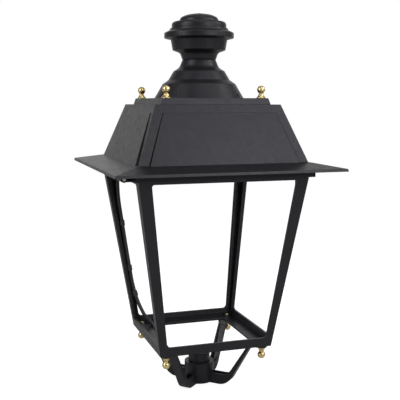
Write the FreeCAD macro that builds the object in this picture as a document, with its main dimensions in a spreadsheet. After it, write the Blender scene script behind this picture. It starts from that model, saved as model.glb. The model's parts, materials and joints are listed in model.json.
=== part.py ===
import FreeCAD, Part
import math
import os
import Sketcher
from FreeCAD import Placement, Rotation, Vector

# A square post-top street lantern with an LED unit under its hood.
# Frame: origin at the mouth of the hub, on the axis; +Z up; the front faces -Y.
# All lengths are millimetres. Half widths are named _half, heights above the origin _level.

SIZES = {
    # hub and its threaded socket
    "hub_radius": 31.0,
    "hub_length": 42.0,
    "socket_radius": 12.06,
    "socket_length": 18.0,
    "cavity_radius": 18.0,
    "cap_radius": 22.5,
    "cap_length": 21.0,
    "cap_lip": 1.2,
    "spigot_length": 8.0,
    "cap_wall": 4.0,
    "slide_gap": 0.05,
    # four arms of the spider
    "arm_width": 18.0,
    "arm_wall": 3.0,
    "arm_root_depth": 22.0,
    "arm_elbow_reach": 69.6,
    "arm_elbow_radius": 34.0,
    "arm_inner_step": 0.4,
    "arm_inner_radius": 18.0,
    "arm_tip_setback": 18.5,
    "arm_tip_depth": 6.1,
    "foot_thickness": 5.0,
    "foot_radius": 11.0,
    "knob_inset": 15.3,
    "stud_radius": 3.0,
    "stud_gap": 0.2,
    # tapered body frame
    "frame_bottom_level": 97.5,
    "frame_height": 348.5,
    "frame_bottom_half": 116.4,
    "frame_top_half": 168.9,
    "frame_wall": 4.5,
    "frame_corner_radius": 2.5,
    "sill_height": 19.0,
    "sill_step_height": 10.5,
    "sill_step_wall": 6.5,
    "flange_thickness": 4.0,
    "flange_width": 29.9,
    "opening_corner_radius": 6.0,
    "top_rail": 6.0,
    "window_top_radius": 4.5,
    "post_face_bottom": 16.0,
    "post_face_top": 24.0,
    "window_corner_radius": 8.0,
    "rib_thickness": 3.5,
    "rib_setback": 1.2,
    "rib_depth_bottom": 2.5,
    "rib_depth_top": 4.0,
    "boss_inset": 14.4,
    "boss_width": 13.0,
    "boss_depth": 20.0,
    # top frame
    "ring_overhang": 9.1,
    "ring_flange": 4.0,
    "ring_flange_width": 28.0,
    "ring_wall": 18.0,
    "ring_height": 12.0,
    "ring_corner_radius": 3.0,
    "groove_inset": 12.0,
    "groove_width": 6.0,
    "groove_depth": 2.5,
    "gasket_height": 4.0,
    "gasket_gap": 0.3,
    # hinge on the left, latch on the right
    "hinge_overhang": 19.0,
    "hinge_rise": 7.0,
    "ledge_margin": 3.0,
    "ledge_thickness": 3.0,
    "ledge_drop": 2.0,
    "knuckle_radius": 6.0,
    "knuckle_width": 14.0,
    "lug_width": 20.0,
    "hinge_side_gap": 0.4,
    "pin_radius": 3.0,
    "pin_gap": 0.05,
    "latch_overhang": 10.0,
    "latch_tab_width": 36.0,
    "latch_radius": 3.0,
    "latch_hole_gap": 0.7,
    "latch_boss_radius": 7.0,
    "latch_head_radius": 8.0,
    "latch_head_height": 9.0,
    "seat_gap": 0.3,
    # hood: fascia, brim and roof
    "brim_overhang": 44.0,
    "brim_gap": 0.8,
    "brim_rise": 10.5,
    "fascia_height": 5.2,
    "fascia_flare": 1.4,
    "roof_inset": 11.7,
    "roof_height": 109.2,
    "roof_set_in": 40.8,
    "hood_wall": 3.5,
    "roof_rim_width": 43.5,
    "rib_width": 3.0,
    # raised panel on each side of the roof
    "panel_bottom_margin": 18.8,
    "panel_top_margin": 18.9,
    "panel_top_drop": 15.2,
    "panel_rise_bottom": 3.4,
    "panel_rise_top": 0.9,
    # square crown under the chimney
    "crown_step": 14.6,
    "crown_draft": 3.7,
    "crown_height": 12.3,
    "crown_wall": 4.0,
    "crown_skirt": 24.9,
    "crown_boss_radius": 7.0,
    "finial_inset": 10.8,
    "spigot_ring_height": 9.0,
    "spigot_ring_width": 5.0,
    # chimney, lower casting: bell, cone and throat
    "bell_radius": 91.0,
    "bell_shoulder_radius": 74.2,
    "bell_shoulder_height": 28.5,
    "cone_radius": 62.5,
    "cone_height": 36.5,
    "flare_radius": 52.0,
    "flare_height": 54.2,
    "throat_bend_radius": 40.2,
    "throat_bend_height": 61.3,
    "throat_radius": 34.4,
    "throat_height": 77.0,
    "chimney_wall": 3.0,
    # chimney, upper casting: scotia, drum, eave and dome, heights above the joint
    "scotia_radius": 38.6,
    "scotia_height": 13.8,
    "drum_bottom_radius": 53.7,
    "drum_bottom_height": 19.2,
    "drum_top_radius": 57.2,
    "drum_top_height": 40.0,
    "eave_radius": 70.4,
    "eave_bottom_height": 43.2,
    "eave_top_height": 53.0,
    "ridge_radius": 59.6,
    "ridge_height": 58.4,
    "ridge_step": 3.2,
    "dome_foot_radius": 54.9,
    "dome_foot_height": 62.8,
    "cap_foot_radius": 40.0,
    "cap_foot_height": 75.5,
    "cap_shoulder_radius": 38.0,
    "cap_shoulder_height": 83.3,
    "cap_crown_radius": 26.0,
    "cap_crown_height": 89.0,
    "dome_height": 93.0,
    "joint_chamfer": 1.2,
    "rod_radius": 3.0,
    "rod_boss_radius": 8.0,
    "bell_screw_height": 5.5,
    "bell_screw_radius": 2.0,
    "bell_screw_head": 3.6,
    # brass finials and knobs
    "knob_ball_radius": 7.9,
    "knob_ball_distance": 16.4,
    "knob_flange_radius": 9.0,
    "knob_flange_height": 1.2,
    "knob_waist_radius": 6.4,
    "knob_waist_height": 4.4,
    "knob_neck_radius": 4.4,
    "knob_neck_height": 8.2,
    "nut_radius": 5.6,
    "nut_height": 5.0,
    # LED unit on its tray
    "tray_thickness": 3.0,
    "tray_gap": 2.0,
    "tray_corner_cut": 16.0,
    "sink_radius": 83.0,
    "sink_plate": 4.0,
    "tray_hole_radius": 74.0,
    "fin_height": 26.0,
    "fin_thickness": 2.5,
    "fin_pitch": 11.0,
    "fin_count": 11.0,
    "board_radius": 66.0,
    "board_thickness": 1.6,
    "lens_radius": 72.0,
    "lens_thickness": 3.0,
    "lens_dome_radius": 5.0,
    "lens_circle_radius": 48.0,
    "optic_gasket_radius": 84.0,
    "optic_gasket_width": 6.0,
    "optic_gasket_height": 3.0,
    "glass_radius": 86.0,
    "glass_gap": 0.5,
    "glass_thickness": 3.0,
    "glass_frame_radius": 92.0,
    "glass_frame_lip": 2.4,
    "driver_length": 150.0,
    "driver_width": 44.0,
    "driver_height": 30.0,
    "driver_offset": 108.0,
    "terminal_length": 46.0,
    "terminal_width": 18.0,
    "terminal_height": 20.0,
    "surge_length": 40.0,
    "surge_width": 30.0,
    "surge_height": 26.0,
    # supply cable, its gland, clips and grommet
    "cable_radius": 4.0,
    "cable_gap": 0.05,
    "gland_reach": 200.5,
    "gland_radius": 6.0,
    "gland_flange_radius": 8.0,
    "gland_flange_height": 5.0,
    "clip_wall": 1.5,
    "clip_height": 12.0,
    "clip_tab_width": 5.0,
    "grommet_radius": 5.0,
    "lock_screw_level": 9.0,
    "post_screw_radius": 2.5,
    "post_screw_head_radius": 4.6,
    "post_screw_head_height": 3.0,
    "post_screw_length": 16.0,
}

doc = FreeCAD.newDocument("street_light_head")
sheet = doc.addObject("Spreadsheet::Sheet", "sizes")
for row, (alias, number) in enumerate(SIZES.items(), start=1):
    sheet.set(f"A{row}", alias)
    sheet.set(f"B{row}", str(number))
    sheet.setAlias(f"B{row}", alias)
doc.recompute()


class Size:
    """A length that carries its present value and the formula that it comes from."""

    def __init__(self, value, formula):
        self.value = float(value)
        self.formula = formula

    @staticmethod
    def of(other):
        if isinstance(other, Size):
            return other
        return Size(other, repr(float(other)))

    def __add__(self, other):
        other = Size.of(other)
        return Size(self.value + other.value, f"({self.formula} + {other.formula})")

    def __sub__(self, other):
        other = Size.of(other)
        return Size(self.value - other.value, f"({self.formula} - {other.formula})")

    def __mul__(self, other):
        other = Size.of(other)
        return Size(self.value * other.value, f"({self.formula} * {other.formula})")

    def __truediv__(self, other):
        other = Size.of(other)
        return Size(self.value / other.value, f"({self.formula} / {other.formula})")

    def __radd__(self, other):
        return Size.of(other) + self

    def __rsub__(self, other):
        return Size.of(other) - self

    def __rmul__(self, other):
        return Size.of(other) * self

    def __neg__(self):
        return Size(-self.value, f"(0 - {self.formula})")


def root(length):
    """Square root of a size."""
    return Size(math.sqrt(length.value), f"sqrt({length.formula})")


class Sizes:
    """Every cell of the sheet as a Size, by its alias."""


s = Sizes()
for alias in SIZES:
    setattr(s, alias, Size(getattr(sheet, alias), f"sizes.{alias}"))

DIAGONAL = math.sqrt(2.0)

# Half widths that follow from one another, from the foot of the frame to the crown.
knob_half = s.frame_bottom_half - s.knob_inset
opening_half = s.frame_bottom_half - s.flange_width
boss_half = s.frame_top_half - s.boss_inset
ring_half = s.frame_top_half + s.ring_overhang
ring_flange_half = ring_half - s.ring_flange_width
ring_wall_half = ring_half - s.ring_wall
groove_half = ring_half - s.groove_inset
hinge_half = ring_half + s.hinge_overhang
ledge_half = hinge_half + s.ledge_margin
latch_half = ring_half + s.latch_overhang
brim_half = ring_half + s.brim_overhang
fascia_bottom_half = brim_half + s.fascia_flare
roof_base_half = ring_half - s.roof_inset
roof_top_half = roof_base_half - s.roof_set_in
crown_bottom_half = roof_top_half - s.crown_step
crown_top_half = crown_bottom_half - s.crown_draft
crown_recess_half = crown_bottom_half - s.crown_skirt
roof_opening_half = roof_top_half - s.roof_rim_width
finial_half = crown_top_half - s.finial_inset

# Levels that follow from one another, from the frame up.
frame_top_level = s.frame_bottom_level + s.frame_height
ring_base = frame_top_level + s.ring_flange
ring_top = frame_top_level + s.ring_height
hinge_level = frame_top_level + s.hinge_rise
fascia_bottom_level = ring_top + s.brim_gap
brim_level = fascia_bottom_level + s.fascia_height
roof_base_level = brim_level + s.brim_rise
roof_top_level = roof_base_level + s.roof_height
crown_level = roof_top_level + s.crown_height
bell_screw_level = crown_level + s.bell_screw_height


def bind(thing, prop, amount):
    """Tie a property to the formula of a size."""
    amount = Size.of(amount)
    thing.setExpression(prop, amount.formula)


def new_body(label, base=(0, 0, 0), rotation=None):
    """A body with its own name and placement."""
    body = doc.addObject("PartDesign::Body", label)
    body.Label = label
    place(body, base, rotation)
    return body


def place(thing, base, rotation=None):
    """Put an object at a point given in sizes, turned by a plain rotation."""
    base = [Size.of(number) for number in base]
    turn = rotation or Rotation()
    thing.Placement = Placement(Vector(*[number.value for number in base]), turn)
    for axis, number in zip("xyz", base):
        bind(thing, f"Placement.Base.{axis}", number)


def origin_of(body, role):
    """The plane or axis of a body's origin with this role."""
    return next(item for item in body.Origin.OriginFeatures if item.Role == role)


def new_sketch(body, name, plane, offset=0):
    """An empty sketch on an origin plane, moved along the plane's normal."""
    sketch = body.newObject("Sketcher::SketchObject", f"{body.Name}_{name}")
    sketch.AttachmentSupport = [(origin_of(body, plane), "")]
    sketch.MapMode = "FlatFace"
    bind(sketch, "AttachmentOffset.Base.z", offset)
    return sketch


def fix_point(sketch, geometry, position, point):
    """Hold a point of the sketch at (u, v)."""
    for kind, axis, number in (("DistanceX", -2, point[0]), ("DistanceY", -1, point[1])):
        number = Size.of(number)
        if number.formula == "0.0":
            sketch.addConstraint(Sketcher.Constraint("PointOnObject", geometry, position, axis))
            continue
        held = Sketcher.Constraint(kind, -1, 1, geometry, position, number.value)
        index = sketch.addConstraint(held)
        bind(sketch, f"Constraints[{index}]", number)


def rounding(before, corner, after, radius):
    """Where an arc of this radius leaves and meets the two sides of a corner."""
    tip, back, onward = (Vector(p[0].value, p[1].value, 0) for p in (corner, before, after))
    back = (back - tip).normalize()
    onward = (onward - tip).normalize()
    share = 1 / math.tan(back.getAngle(onward) / 2)
    leave = [corner[0] + radius * (back.x * share), corner[1] + radius * (back.y * share)]
    meet = [corner[0] + radius * (onward.x * share), corner[1] + radius * (onward.y * share)]
    return leave, meet


def outline(body, name, plane, corners, offset=0, sketch=None):
    """A closed outline through corners (u, v) or, with a rounded corner, (u, v, radius)."""
    sketch = sketch or new_sketch(body, name, plane, offset)
    count = len(corners)
    points = [[Size.of(c[0]), Size.of(c[1])] for c in corners]
    starts = list(points)
    ends = list(points)
    for i, corner in enumerate(corners):
        if len(corner) == 3:
            starts[i], ends[i] = rounding(points[i - 1], points[i], points[(i + 1) % count],
                                          Size.of(corner[2]))
    lines = []
    for i in range(count):
        first = Vector(ends[i][0].value, ends[i][1].value, 0)
        last = starts[(i + 1) % count]
        last = Vector(last[0].value, last[1].value, 0)
        lines.append(sketch.addGeometry(Part.LineSegment(first, last), False))
    for i, corner in enumerate(corners):
        before = lines[i - 1]
        after = lines[i]
        fix_point(sketch, after, 1, ends[i])
        if len(corner) == 2:
            sketch.addConstraint(Sketcher.Constraint("Coincident", before, 2, after, 1))
            continue
        fix_point(sketch, before, 2, starts[i])
        radius = Size.of(corner[2])
        tip, first, last = (Vector(p[0].value, p[1].value, 0)
                            for p in (points[i], starts[i], ends[i]))
        middle = ((first - tip).normalize() + (last - tip).normalize()).normalize()
        half_angle = middle.getAngle(first - tip)
        centre = tip + middle * (radius.value / math.sin(half_angle))
        near, far = (1, 2)
        if (first - centre).cross(last - centre).z < 0:
            near, far = (2, 1)
            first, last = (last, first)
        angles = [math.atan2(p.y - centre.y, p.x - centre.x) for p in (first, last)]
        if angles[1] < angles[0]:
            angles[1] += 2 * math.pi
        whole = Part.Circle(centre, Vector(0, 0, 1), radius.value)
        arc = sketch.addGeometry(Part.ArcOfCircle(whole, *angles), False)
        sketch.addConstraint(Sketcher.Constraint("Coincident", before, 2, arc, near))
        sketch.addConstraint(Sketcher.Constraint("Coincident", after, 1, arc, far))
        index = sketch.addConstraint(Sketcher.Constraint("Radius", arc, radius.value))
        bind(sketch, f"Constraints[{index}]", radius)
    return sketch


def square(body, name, half, offset=0, corner=None, sketch=None):
    """A square outline about the axis at a height, with sharp or rounded corners."""
    signs = ((-1, -1), (1, -1), (1, 1), (-1, 1))
    corners = [(half * u, half * v) for u, v in signs]
    if corner is not None:
        corners = [(u, v, corner) for u, v in corners]
    return outline(body, name, "XY_Plane", corners, offset, sketch)


def rectangle(body, name, plane, u_low, u_high, v_low, v_high, offset=0):
    """A rectangle between two pairs of sides."""
    corners = [(u_low, v_low), (u_high, v_low), (u_high, v_high), (u_low, v_high)]
    return outline(body, name, plane, corners, offset)


def circle(body, name, plane, centre, radius, offset=0, sketch=None):
    """A circle at (u, v)."""
    sketch = sketch or new_sketch(body, name, plane, offset)
    radius = Size.of(radius)
    middle = Vector(Size.of(centre[0]).value, Size.of(centre[1]).value, 0)
    drawn = sketch.addGeometry(Part.Circle(middle, Vector(0, 0, 1), radius.value), False)
    fix_point(sketch, drawn, 3, centre)
    index = sketch.addConstraint(Sketcher.Constraint("Radius", drawn, radius.value))
    bind(sketch, f"Constraints[{index}]", radius)
    return sketch


def pad(body, sketch, length, middle=False):
    """Add the sketch's outline along its normal, or to both sides of it."""
    feature = body.newObject("PartDesign::Pad", f"{sketch.Name}_pad")
    feature.Profile = sketch
    feature.SideType = "Symmetric" if middle else "One side"
    bind(feature, "Length", length)
    return feature


def pocket(body, sketch, length, middle=False, along_normal=False):
    """Cut the sketch's outline, against its normal unless told otherwise."""
    feature = body.newObject("PartDesign::Pocket", f"{sketch.Name}_cut")
    feature.Profile = sketch
    feature.SideType = "Symmetric" if middle else "One side"
    feature.Reversed = along_normal
    bind(feature, "Length", length)
    return feature


def revolve(body, sketch):
    """Turn the sketch's outline about its vertical axis."""
    feature = body.newObject("PartDesign::Revolution", f"{sketch.Name}_turn")
    feature.Profile = sketch
    feature.ReferenceAxis = (sketch, ["V_Axis"])
    feature.Angle = 360
    return feature


def loft(body, sketches, cut=False):
    """Straight-sided loft through sketches from the bottom up."""
    kind = "PartDesign::SubtractiveLoft" if cut else "PartDesign::AdditiveLoft"
    feature = body.newObject(kind, f"{sketches[0].Name}_loft")
    feature.Profile = sketches[0]
    feature.Sections = sketches[1:]
    feature.Ruled = True
    return feature


def around(body, features):
    """Repeat features four times about the vertical axis."""
    pattern = body.newObject("PartDesign::PolarPattern", f"{features[0].Name}_around")
    pattern.Originals = features
    pattern.Axis = (origin_of(body, "Z_Axis"), [""])
    pattern.Angle = 360
    pattern.Occurrences = 4
    body.Tip = pattern
    return pattern


def cylinder(name, radius, height, base=(0, 0, 0), rotation=None):
    """A plain cylinder standing on its base."""
    thing = doc.addObject("Part::Cylinder", name)
    bind(thing, "Radius", radius)
    bind(thing, "Height", height)
    place(thing, base, rotation)
    return thing


def box(name, length, width, height, base=(0, 0, 0), rotation=None):
    """A plain box from its lowest corner."""
    thing = doc.addObject("Part::Box", name)
    bind(thing, "Length", length)
    bind(thing, "Width", width)
    bind(thing, "Height", height)
    place(thing, base, rotation)
    return thing


def join(label, pieces, base=(0, 0, 0), rotation=None):
    """One solid from several."""
    thing = doc.addObject("Part::MultiFuse", label)
    thing.Label = label
    thing.Shapes = pieces
    thing.Refine = True
    place(thing, base, rotation)
    return thing


def cut(label, body, tool, base=(0, 0, 0), rotation=None):
    """One solid with another taken away."""
    thing = doc.addObject("Part::Cut", label)
    thing.Label = label
    thing.Base = body
    thing.Tool = tool
    place(thing, base, rotation)
    return thing


nodes = []

# The spider: a hub with a threaded socket below, a wiring cavity above, and four
# channel arms on the diagonals that end in foot plates under the body frame.
foot_level = s.frame_bottom_level - s.foot_thickness
foot_reach = knob_half * DIAGONAL
arm_tip_outer = foot_reach - s.arm_tip_setback
arm_tip_inner = arm_tip_outer - s.arm_tip_depth
arm_inner_reach = s.arm_elbow_reach + s.arm_inner_step
arm_lean = (arm_tip_outer - s.arm_elbow_reach) / s.frame_bottom_level
channel_shift = s.arm_wall * root(arm_lean * arm_lean + 1)
channel_floor = s.arm_elbow_reach + arm_lean * s.arm_wall - channel_shift
channel_top = foot_level - s.arm_wall
channel_roof = s.arm_elbow_reach + arm_lean * channel_top - channel_shift
stud_hole = s.stud_radius + s.stud_gap
channel_width = s.arm_width - s.arm_wall * 2

spider = new_body("spider_bracket", rotation=Rotation(Vector(0, 0, 1), 45))
hub_disc = circle(spider, "hub", "XY_Plane", (0, 0), s.hub_radius)
pad(spider, hub_disc, s.hub_length)
arm_side = outline(spider, "arm", "XZ_Plane", [
    (s.hub_radius * 0.8, 0),
    (s.arm_elbow_reach, 0, s.arm_elbow_radius),
    (arm_tip_outer, s.frame_bottom_level),
    (arm_tip_inner, s.frame_bottom_level),
    (arm_inner_reach, s.arm_root_depth, s.arm_inner_radius),
    (s.hub_radius * 0.8, s.arm_root_depth),
])
arm = pad(spider, arm_side, s.arm_width, middle=True)
channel_side = outline(spider, "channel", "XZ_Plane", [
    (s.hub_radius + s.arm_wall / 2, s.arm_wall),
    (channel_floor, s.arm_wall, s.arm_elbow_radius - s.arm_wall),
    (channel_roof, channel_top),
    (channel_roof - s.arm_root_depth, channel_top),
    (arm_inner_reach - s.arm_root_depth, s.arm_root_depth * 1.6),
    (s.hub_radius + s.arm_wall / 2, s.arm_root_depth * 1.2),
])
channel = pocket(spider, channel_side, channel_width, middle=True)
foot_plan = outline(spider, "foot", "XY_Plane", [
    (arm_tip_inner, -s.foot_radius),
    (foot_reach + s.foot_radius, -s.foot_radius, s.foot_radius * 0.98),
    (foot_reach + s.foot_radius, s.foot_radius, s.foot_radius * 0.98),
    (arm_tip_inner, s.foot_radius),
], offset=foot_level)
circle(spider, "foot_hole", "XY_Plane", (foot_reach, 0), stud_hole, sketch=foot_plan)
foot = pad(spider, foot_plan, s.foot_thickness)
around(spider, [arm, channel, foot])
socket = circle(spider, "socket", "XY_Plane", (0, 0), s.socket_radius, offset=s.hub_length)
pocket(spider, socket, s.hub_length)
cavity = circle(spider, "cavity", "XY_Plane", (0, 0), s.cavity_radius, offset=s.hub_length)
pocket(spider, cavity, s.hub_length - s.socket_length)

# The cable leaves the back left arm through a slanting hole in the hub wall.
cable_entry = (50.5, 8.6)
cable_end = (12.0, 30.0)
rise = math.degrees(math.atan2(cable_end[1] - cable_entry[1], cable_entry[0] - cable_end[0]))
entry_hole = spider.newObject("PartDesign::SubtractiveCylinder", "spider_entry_hole")
bind(entry_hole, "Radius", s.grommet_radius)
bind(entry_hole, "Height", s.hub_radius)
entry_hole.AttachmentSupport = [(origin_of(spider, "XY_Plane"), "")]
entry_hole.MapMode = "FlatFace"
entry_hole.AttachmentOffset = Placement(
    Vector(0, cable_end[0], cable_end[1]), Rotation(Vector(1, 0, 0), -90 - rise))
screw_turn = Rotation(Vector(0, 0, 1), -45).multiply(Rotation(Vector(1, 0, 0), -90))
lock_hole = spider.newObject("PartDesign::SubtractiveCylinder", "spider_lock_hole")
bind(lock_hole, "Radius", s.stud_radius + s.pin_gap)
bind(lock_hole, "Height", s.hub_radius + 1)
lock_hole.AttachmentSupport = [(origin_of(spider, "XY_Plane"), "")]
lock_hole.MapMode = "FlatFace"
lock_hole.AttachmentOffset = Placement(Vector(0, 0, 0), screw_turn)
bind(lock_hole, "AttachmentOffset.Base.z", s.lock_screw_level)
nodes.append(spider)

# A hollow cap closes the wiring cavity and carries the light lip seen on the hub.
hub_cap = new_body("hub_cap", base=(0, 0, s.hub_length))
spigot = s.cavity_radius - s.slide_gap
cap_bore = spigot - s.cap_wall
revolve(hub_cap, outline(hub_cap, "section", "XZ_Plane", [
    (0, s.cap_length),
    (0, s.cap_length - s.cap_wall),
    (cap_bore, s.cap_length - s.cap_wall),
    (cap_bore, -s.spigot_length),
    (spigot, -s.spigot_length),
    (spigot, 0),
    (s.cap_radius, 0),
    (s.cap_radius, s.cap_length - s.cap_lip * 2),
    (s.cap_radius + s.cap_lip, s.cap_length - s.cap_lip),
    (s.cap_radius + s.cap_lip, s.cap_length),
]))
nodes.append(hub_cap)

lock_screw = cylinder("hub_lock_screw", s.stud_radius, s.hub_radius - s.socket_radius - 2,
                      (0, s.socket_radius + 1, s.lock_screw_level),
                      Rotation(Vector(1, 0, 0), -90))
nodes.append(lock_screw)

# The body frame: a tapered square cage cast with its bottom flange.
lean = (s.frame_top_half - s.frame_bottom_half) / s.frame_height
sill_level = s.frame_bottom_level + s.sill_height
step_level = s.frame_bottom_level + s.sill_step_height
flange_level = s.frame_bottom_level + s.flange_thickness


def frame_half(level):
    """Half width of the cage's outside at a level."""
    return s.frame_bottom_half + lean * (level - s.frame_bottom_level)


frame = new_body("body_frame")
loft(frame, [
    square(frame, "foot", s.frame_bottom_half, s.frame_bottom_level, s.frame_corner_radius),
    square(frame, "head", s.frame_top_half, frame_top_level, s.frame_corner_radius),
])
loft(frame, [
    square(frame, "inner_foot", frame_half(step_level) - s.frame_wall, step_level),
    square(frame, "inner_head", s.frame_top_half - s.frame_wall, frame_top_level),
], cut=True)
step_plan = square(frame, "step", frame_half(flange_level) - s.sill_step_wall, step_level)
pocket(frame, step_plan, step_level - flange_level)
opening_plan = square(frame, "opening", opening_half, flange_level,
                      s.opening_corner_radius)
pocket(frame, opening_plan, s.flange_thickness)
window_bottom = frame_half(sill_level) - s.post_face_bottom
rail_level = frame_top_level - s.top_rail
window_top = frame_half(rail_level) - s.post_face_top
for plane, side in (("XZ_Plane", "front"), ("YZ_Plane", "side")):
    window = outline(frame, f"window_{side}", plane, [
        (-window_bottom, sill_level, s.window_corner_radius),
        (window_bottom, sill_level, s.window_corner_radius),
        (window_top, rail_level, s.window_top_radius),
        (-window_top, rail_level, s.window_top_radius),
    ])
    pocket(frame, window, s.frame_top_half * 3, middle=True)
ribs = []
for side, sign in (("left", -1), ("right", 1)):
    ends = []
    for name, level, edge, depth in (
            ("low", sill_level - s.frame_wall, window_bottom, s.rib_depth_bottom),
            ("high", frame_top_level, window_top, s.rib_depth_top)):
        outer = frame_half(level) - s.frame_wall * 0.5
        inner = frame_half(level) - s.frame_wall - depth
        near = (edge + s.rib_setback) * sign
        far = near + s.rib_thickness * sign
        ends.append(rectangle(frame, f"rib_{side}_{name}", "XY_Plane",
                              near, far, -outer, -inner, level))
    ribs.append(loft(frame, ends))
boss_plan = rectangle(frame, "boss", "XY_Plane",
                      boss_half - s.boss_width / 2, boss_half + s.boss_width * 0.7,
                      boss_half - s.boss_width / 2, boss_half + s.boss_width * 0.7,
                      frame_top_level - s.boss_depth)
boss = pad(frame, boss_plan, s.boss_depth)
boss_hole_plan = circle(frame, "boss_hole", "XY_Plane", (boss_half, boss_half),
                        s.post_screw_radius + s.pin_gap, frame_top_level)
boss_hole = pocket(frame, boss_hole_plan, s.post_screw_length)
stud_hole_plan = circle(frame, "stud_hole", "XY_Plane", (knob_half, knob_half),
                        stud_hole, flange_level)
flange_hole = pocket(frame, stud_hole_plan, s.flange_thickness)
around(frame, ribs + [boss, boss_hole, flange_hole])
nodes.append(frame)

# The top frame: an angle ring with a gasket groove, a hinge ledge on the left and a
# latch tab on the right.
ledge_bottom = frame_top_level + s.ledge_drop
top = new_body("top_frame")
pad(top, square(top, "ring", ring_half, frame_top_level, s.ring_corner_radius),
    s.ring_height)
ledge_plan = rectangle(top, "ledge", "XY_Plane", -ledge_half, -ring_wall_half,
                       -ring_half, ring_half, ledge_bottom)
pad(top, ledge_plan, s.ledge_thickness)
tab_reach = latch_half + s.latch_boss_radius
tab_plan = rectangle(top, "tab", "XY_Plane", ring_wall_half, tab_reach,
                     -s.latch_tab_width / 2, s.latch_tab_width / 2, ledge_bottom)
pad(top, tab_plan, s.ledge_thickness)
hinge_ends = []
for side, sign in (("front", -1), ("rear", 1)):
    outer_middle = (ring_half - s.knuckle_width / 2) * sign
    inner_middle = outer_middle - (s.knuckle_width + s.lug_width + s.hinge_side_gap * 2) * sign
    lug_middle = outer_middle - (s.knuckle_width / 2 + s.lug_width / 2
                                 + s.hinge_side_gap) * sign
    hinge_ends.append((side, sign, outer_middle, inner_middle, lug_middle))
for side, sign, outer_middle, inner_middle, lug_middle in hinge_ends:
    for name, middle in (("outer", outer_middle), ("inner", inner_middle)):
        knuckle = circle(top, f"knuckle_{side}_{name}", "XZ_Plane",
                         (-hinge_half, hinge_level), s.knuckle_radius, -middle)
        pad(top, knuckle, s.knuckle_width, middle=True)
    notch = rectangle(top, f"notch_{side}", "XY_Plane",
                      -ledge_half - s.knuckle_radius, -hinge_half + s.knuckle_radius + 1,
                      lug_middle - s.lug_width / 2 - s.hinge_side_gap,
                      lug_middle + s.lug_width / 2 + s.hinge_side_gap,
                      ledge_bottom + s.ledge_thickness)
    pocket(top, notch, s.ledge_thickness)
    bore = circle(top, f"pin_bore_{side}", "XZ_Plane", (-hinge_half, hinge_level),
                  s.pin_radius + s.pin_gap, -lug_middle)
    pocket(top, bore, s.knuckle_width * 2 + s.lug_width * 2, middle=True)
inner_plan = square(top, "inner", ring_wall_half, ring_top)
pocket(top, inner_plan, s.ring_height - s.ring_flange)
inner_edge = square(top, "inner_edge", ring_flange_half, ring_base)
pocket(top, inner_edge, s.ring_flange)
groove_plan = square(top, "groove", groove_half + s.groove_width / 2, ring_top)
square(top, "groove_island", groove_half - s.groove_width / 2, ring_top,
       sketch=groove_plan)
pocket(top, groove_plan, s.groove_depth)
latch_hole_plan = circle(top, "latch_hole", "XY_Plane", (latch_half, 0),
                         s.latch_radius + s.pin_gap, ledge_bottom + s.ledge_thickness)
pocket(top, latch_hole_plan, s.ledge_thickness)
screw_hole_plan = circle(top, "screw_hole", "XY_Plane", (boss_half, boss_half),
                         s.post_screw_radius + s.stud_gap, ring_base)
around(top, [pocket(top, screw_hole_plan, s.ring_flange)])
nodes.append(top)

gasket = new_body("hood_gasket", base=(0, 0, ring_top - s.groove_depth))
gasket_plan = square(gasket, "outer", groove_half + s.groove_width / 2 - s.slide_gap)
square(gasket, "inner", groove_half - s.groove_width / 2 + s.slide_gap, sketch=gasket_plan)
pad(gasket, gasket_plan, s.gasket_height)
nodes.append(gasket)

for side, sign, outer_middle, inner_middle, lug_middle in hinge_ends:
    pin_length = s.knuckle_width * 2 + s.lug_width + s.hinge_side_gap * 2 + 1
    pin = cylinder(f"hinge_pin_{side}", s.pin_radius, pin_length,
                   (-hinge_half, lug_middle - pin_length / 2, hinge_level),
                   Rotation(Vector(1, 0, 0), -90))
    nodes.append(pin)

# A captive thumb screw holds the hood shut from below.
boss_floor = ledge_bottom + s.ledge_thickness + s.seat_gap
latch_shank = cylinder("latch_shank", s.latch_radius, s.ledge_thickness * 5)
latch_head = cylinder("latch_head", s.latch_head_radius, s.latch_head_height,
                      (0, 0, -s.latch_head_height))
latch = join("latch_screw", [latch_shank, latch_head], (latch_half, 0, ledge_bottom))
nodes.append(latch)

# The hood: fascia, brim and roof in one casting, with a raised panel on each side.
brim_slope = ((roof_base_level - brim_level) / (brim_half - roof_base_half))
under_level = roof_base_level - s.hood_wall
roof_lean = (roof_base_half - roof_top_half) / (roof_top_level - roof_base_level)
plate_level = roof_top_level - s.hood_wall


def brim_under(half):
    """Level of the brim's underside at a half width."""
    return under_level - (half - roof_base_half) * brim_slope


def roof_half(level):
    """Half width of the roof's outside at a level."""
    return roof_base_half - roof_lean * (level - roof_base_level)


hood = new_body("hood_casting")
loft(hood, [
    square(hood, "lip", fascia_bottom_half, fascia_bottom_level),
    square(hood, "brim", brim_half, brim_level),
    square(hood, "roof_foot", roof_base_half, roof_base_level),
    square(hood, "roof_rim", roof_top_half, roof_top_level),
])
panel_foot = roof_base_level - s.hood_wall / 2
panel_level = roof_top_level - s.panel_top_drop
panel_bottom_half = roof_base_half - s.panel_bottom_margin
panel_top_half = roof_half(panel_level) - s.panel_top_margin
panel = loft(hood, [
    rectangle(hood, "panel_foot", "XY_Plane", -panel_bottom_half, panel_bottom_half,
              -roof_half(panel_foot) - s.panel_rise_bottom,
              -roof_half(panel_foot) + s.hood_wall / 2, panel_foot),
    rectangle(hood, "panel_head", "XY_Plane", -panel_top_half, panel_top_half,
              -roof_half(panel_level) - s.panel_rise_top,
              -roof_half(panel_level) + s.hood_wall / 2, panel_level),
])
around(hood, [panel])
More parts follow.
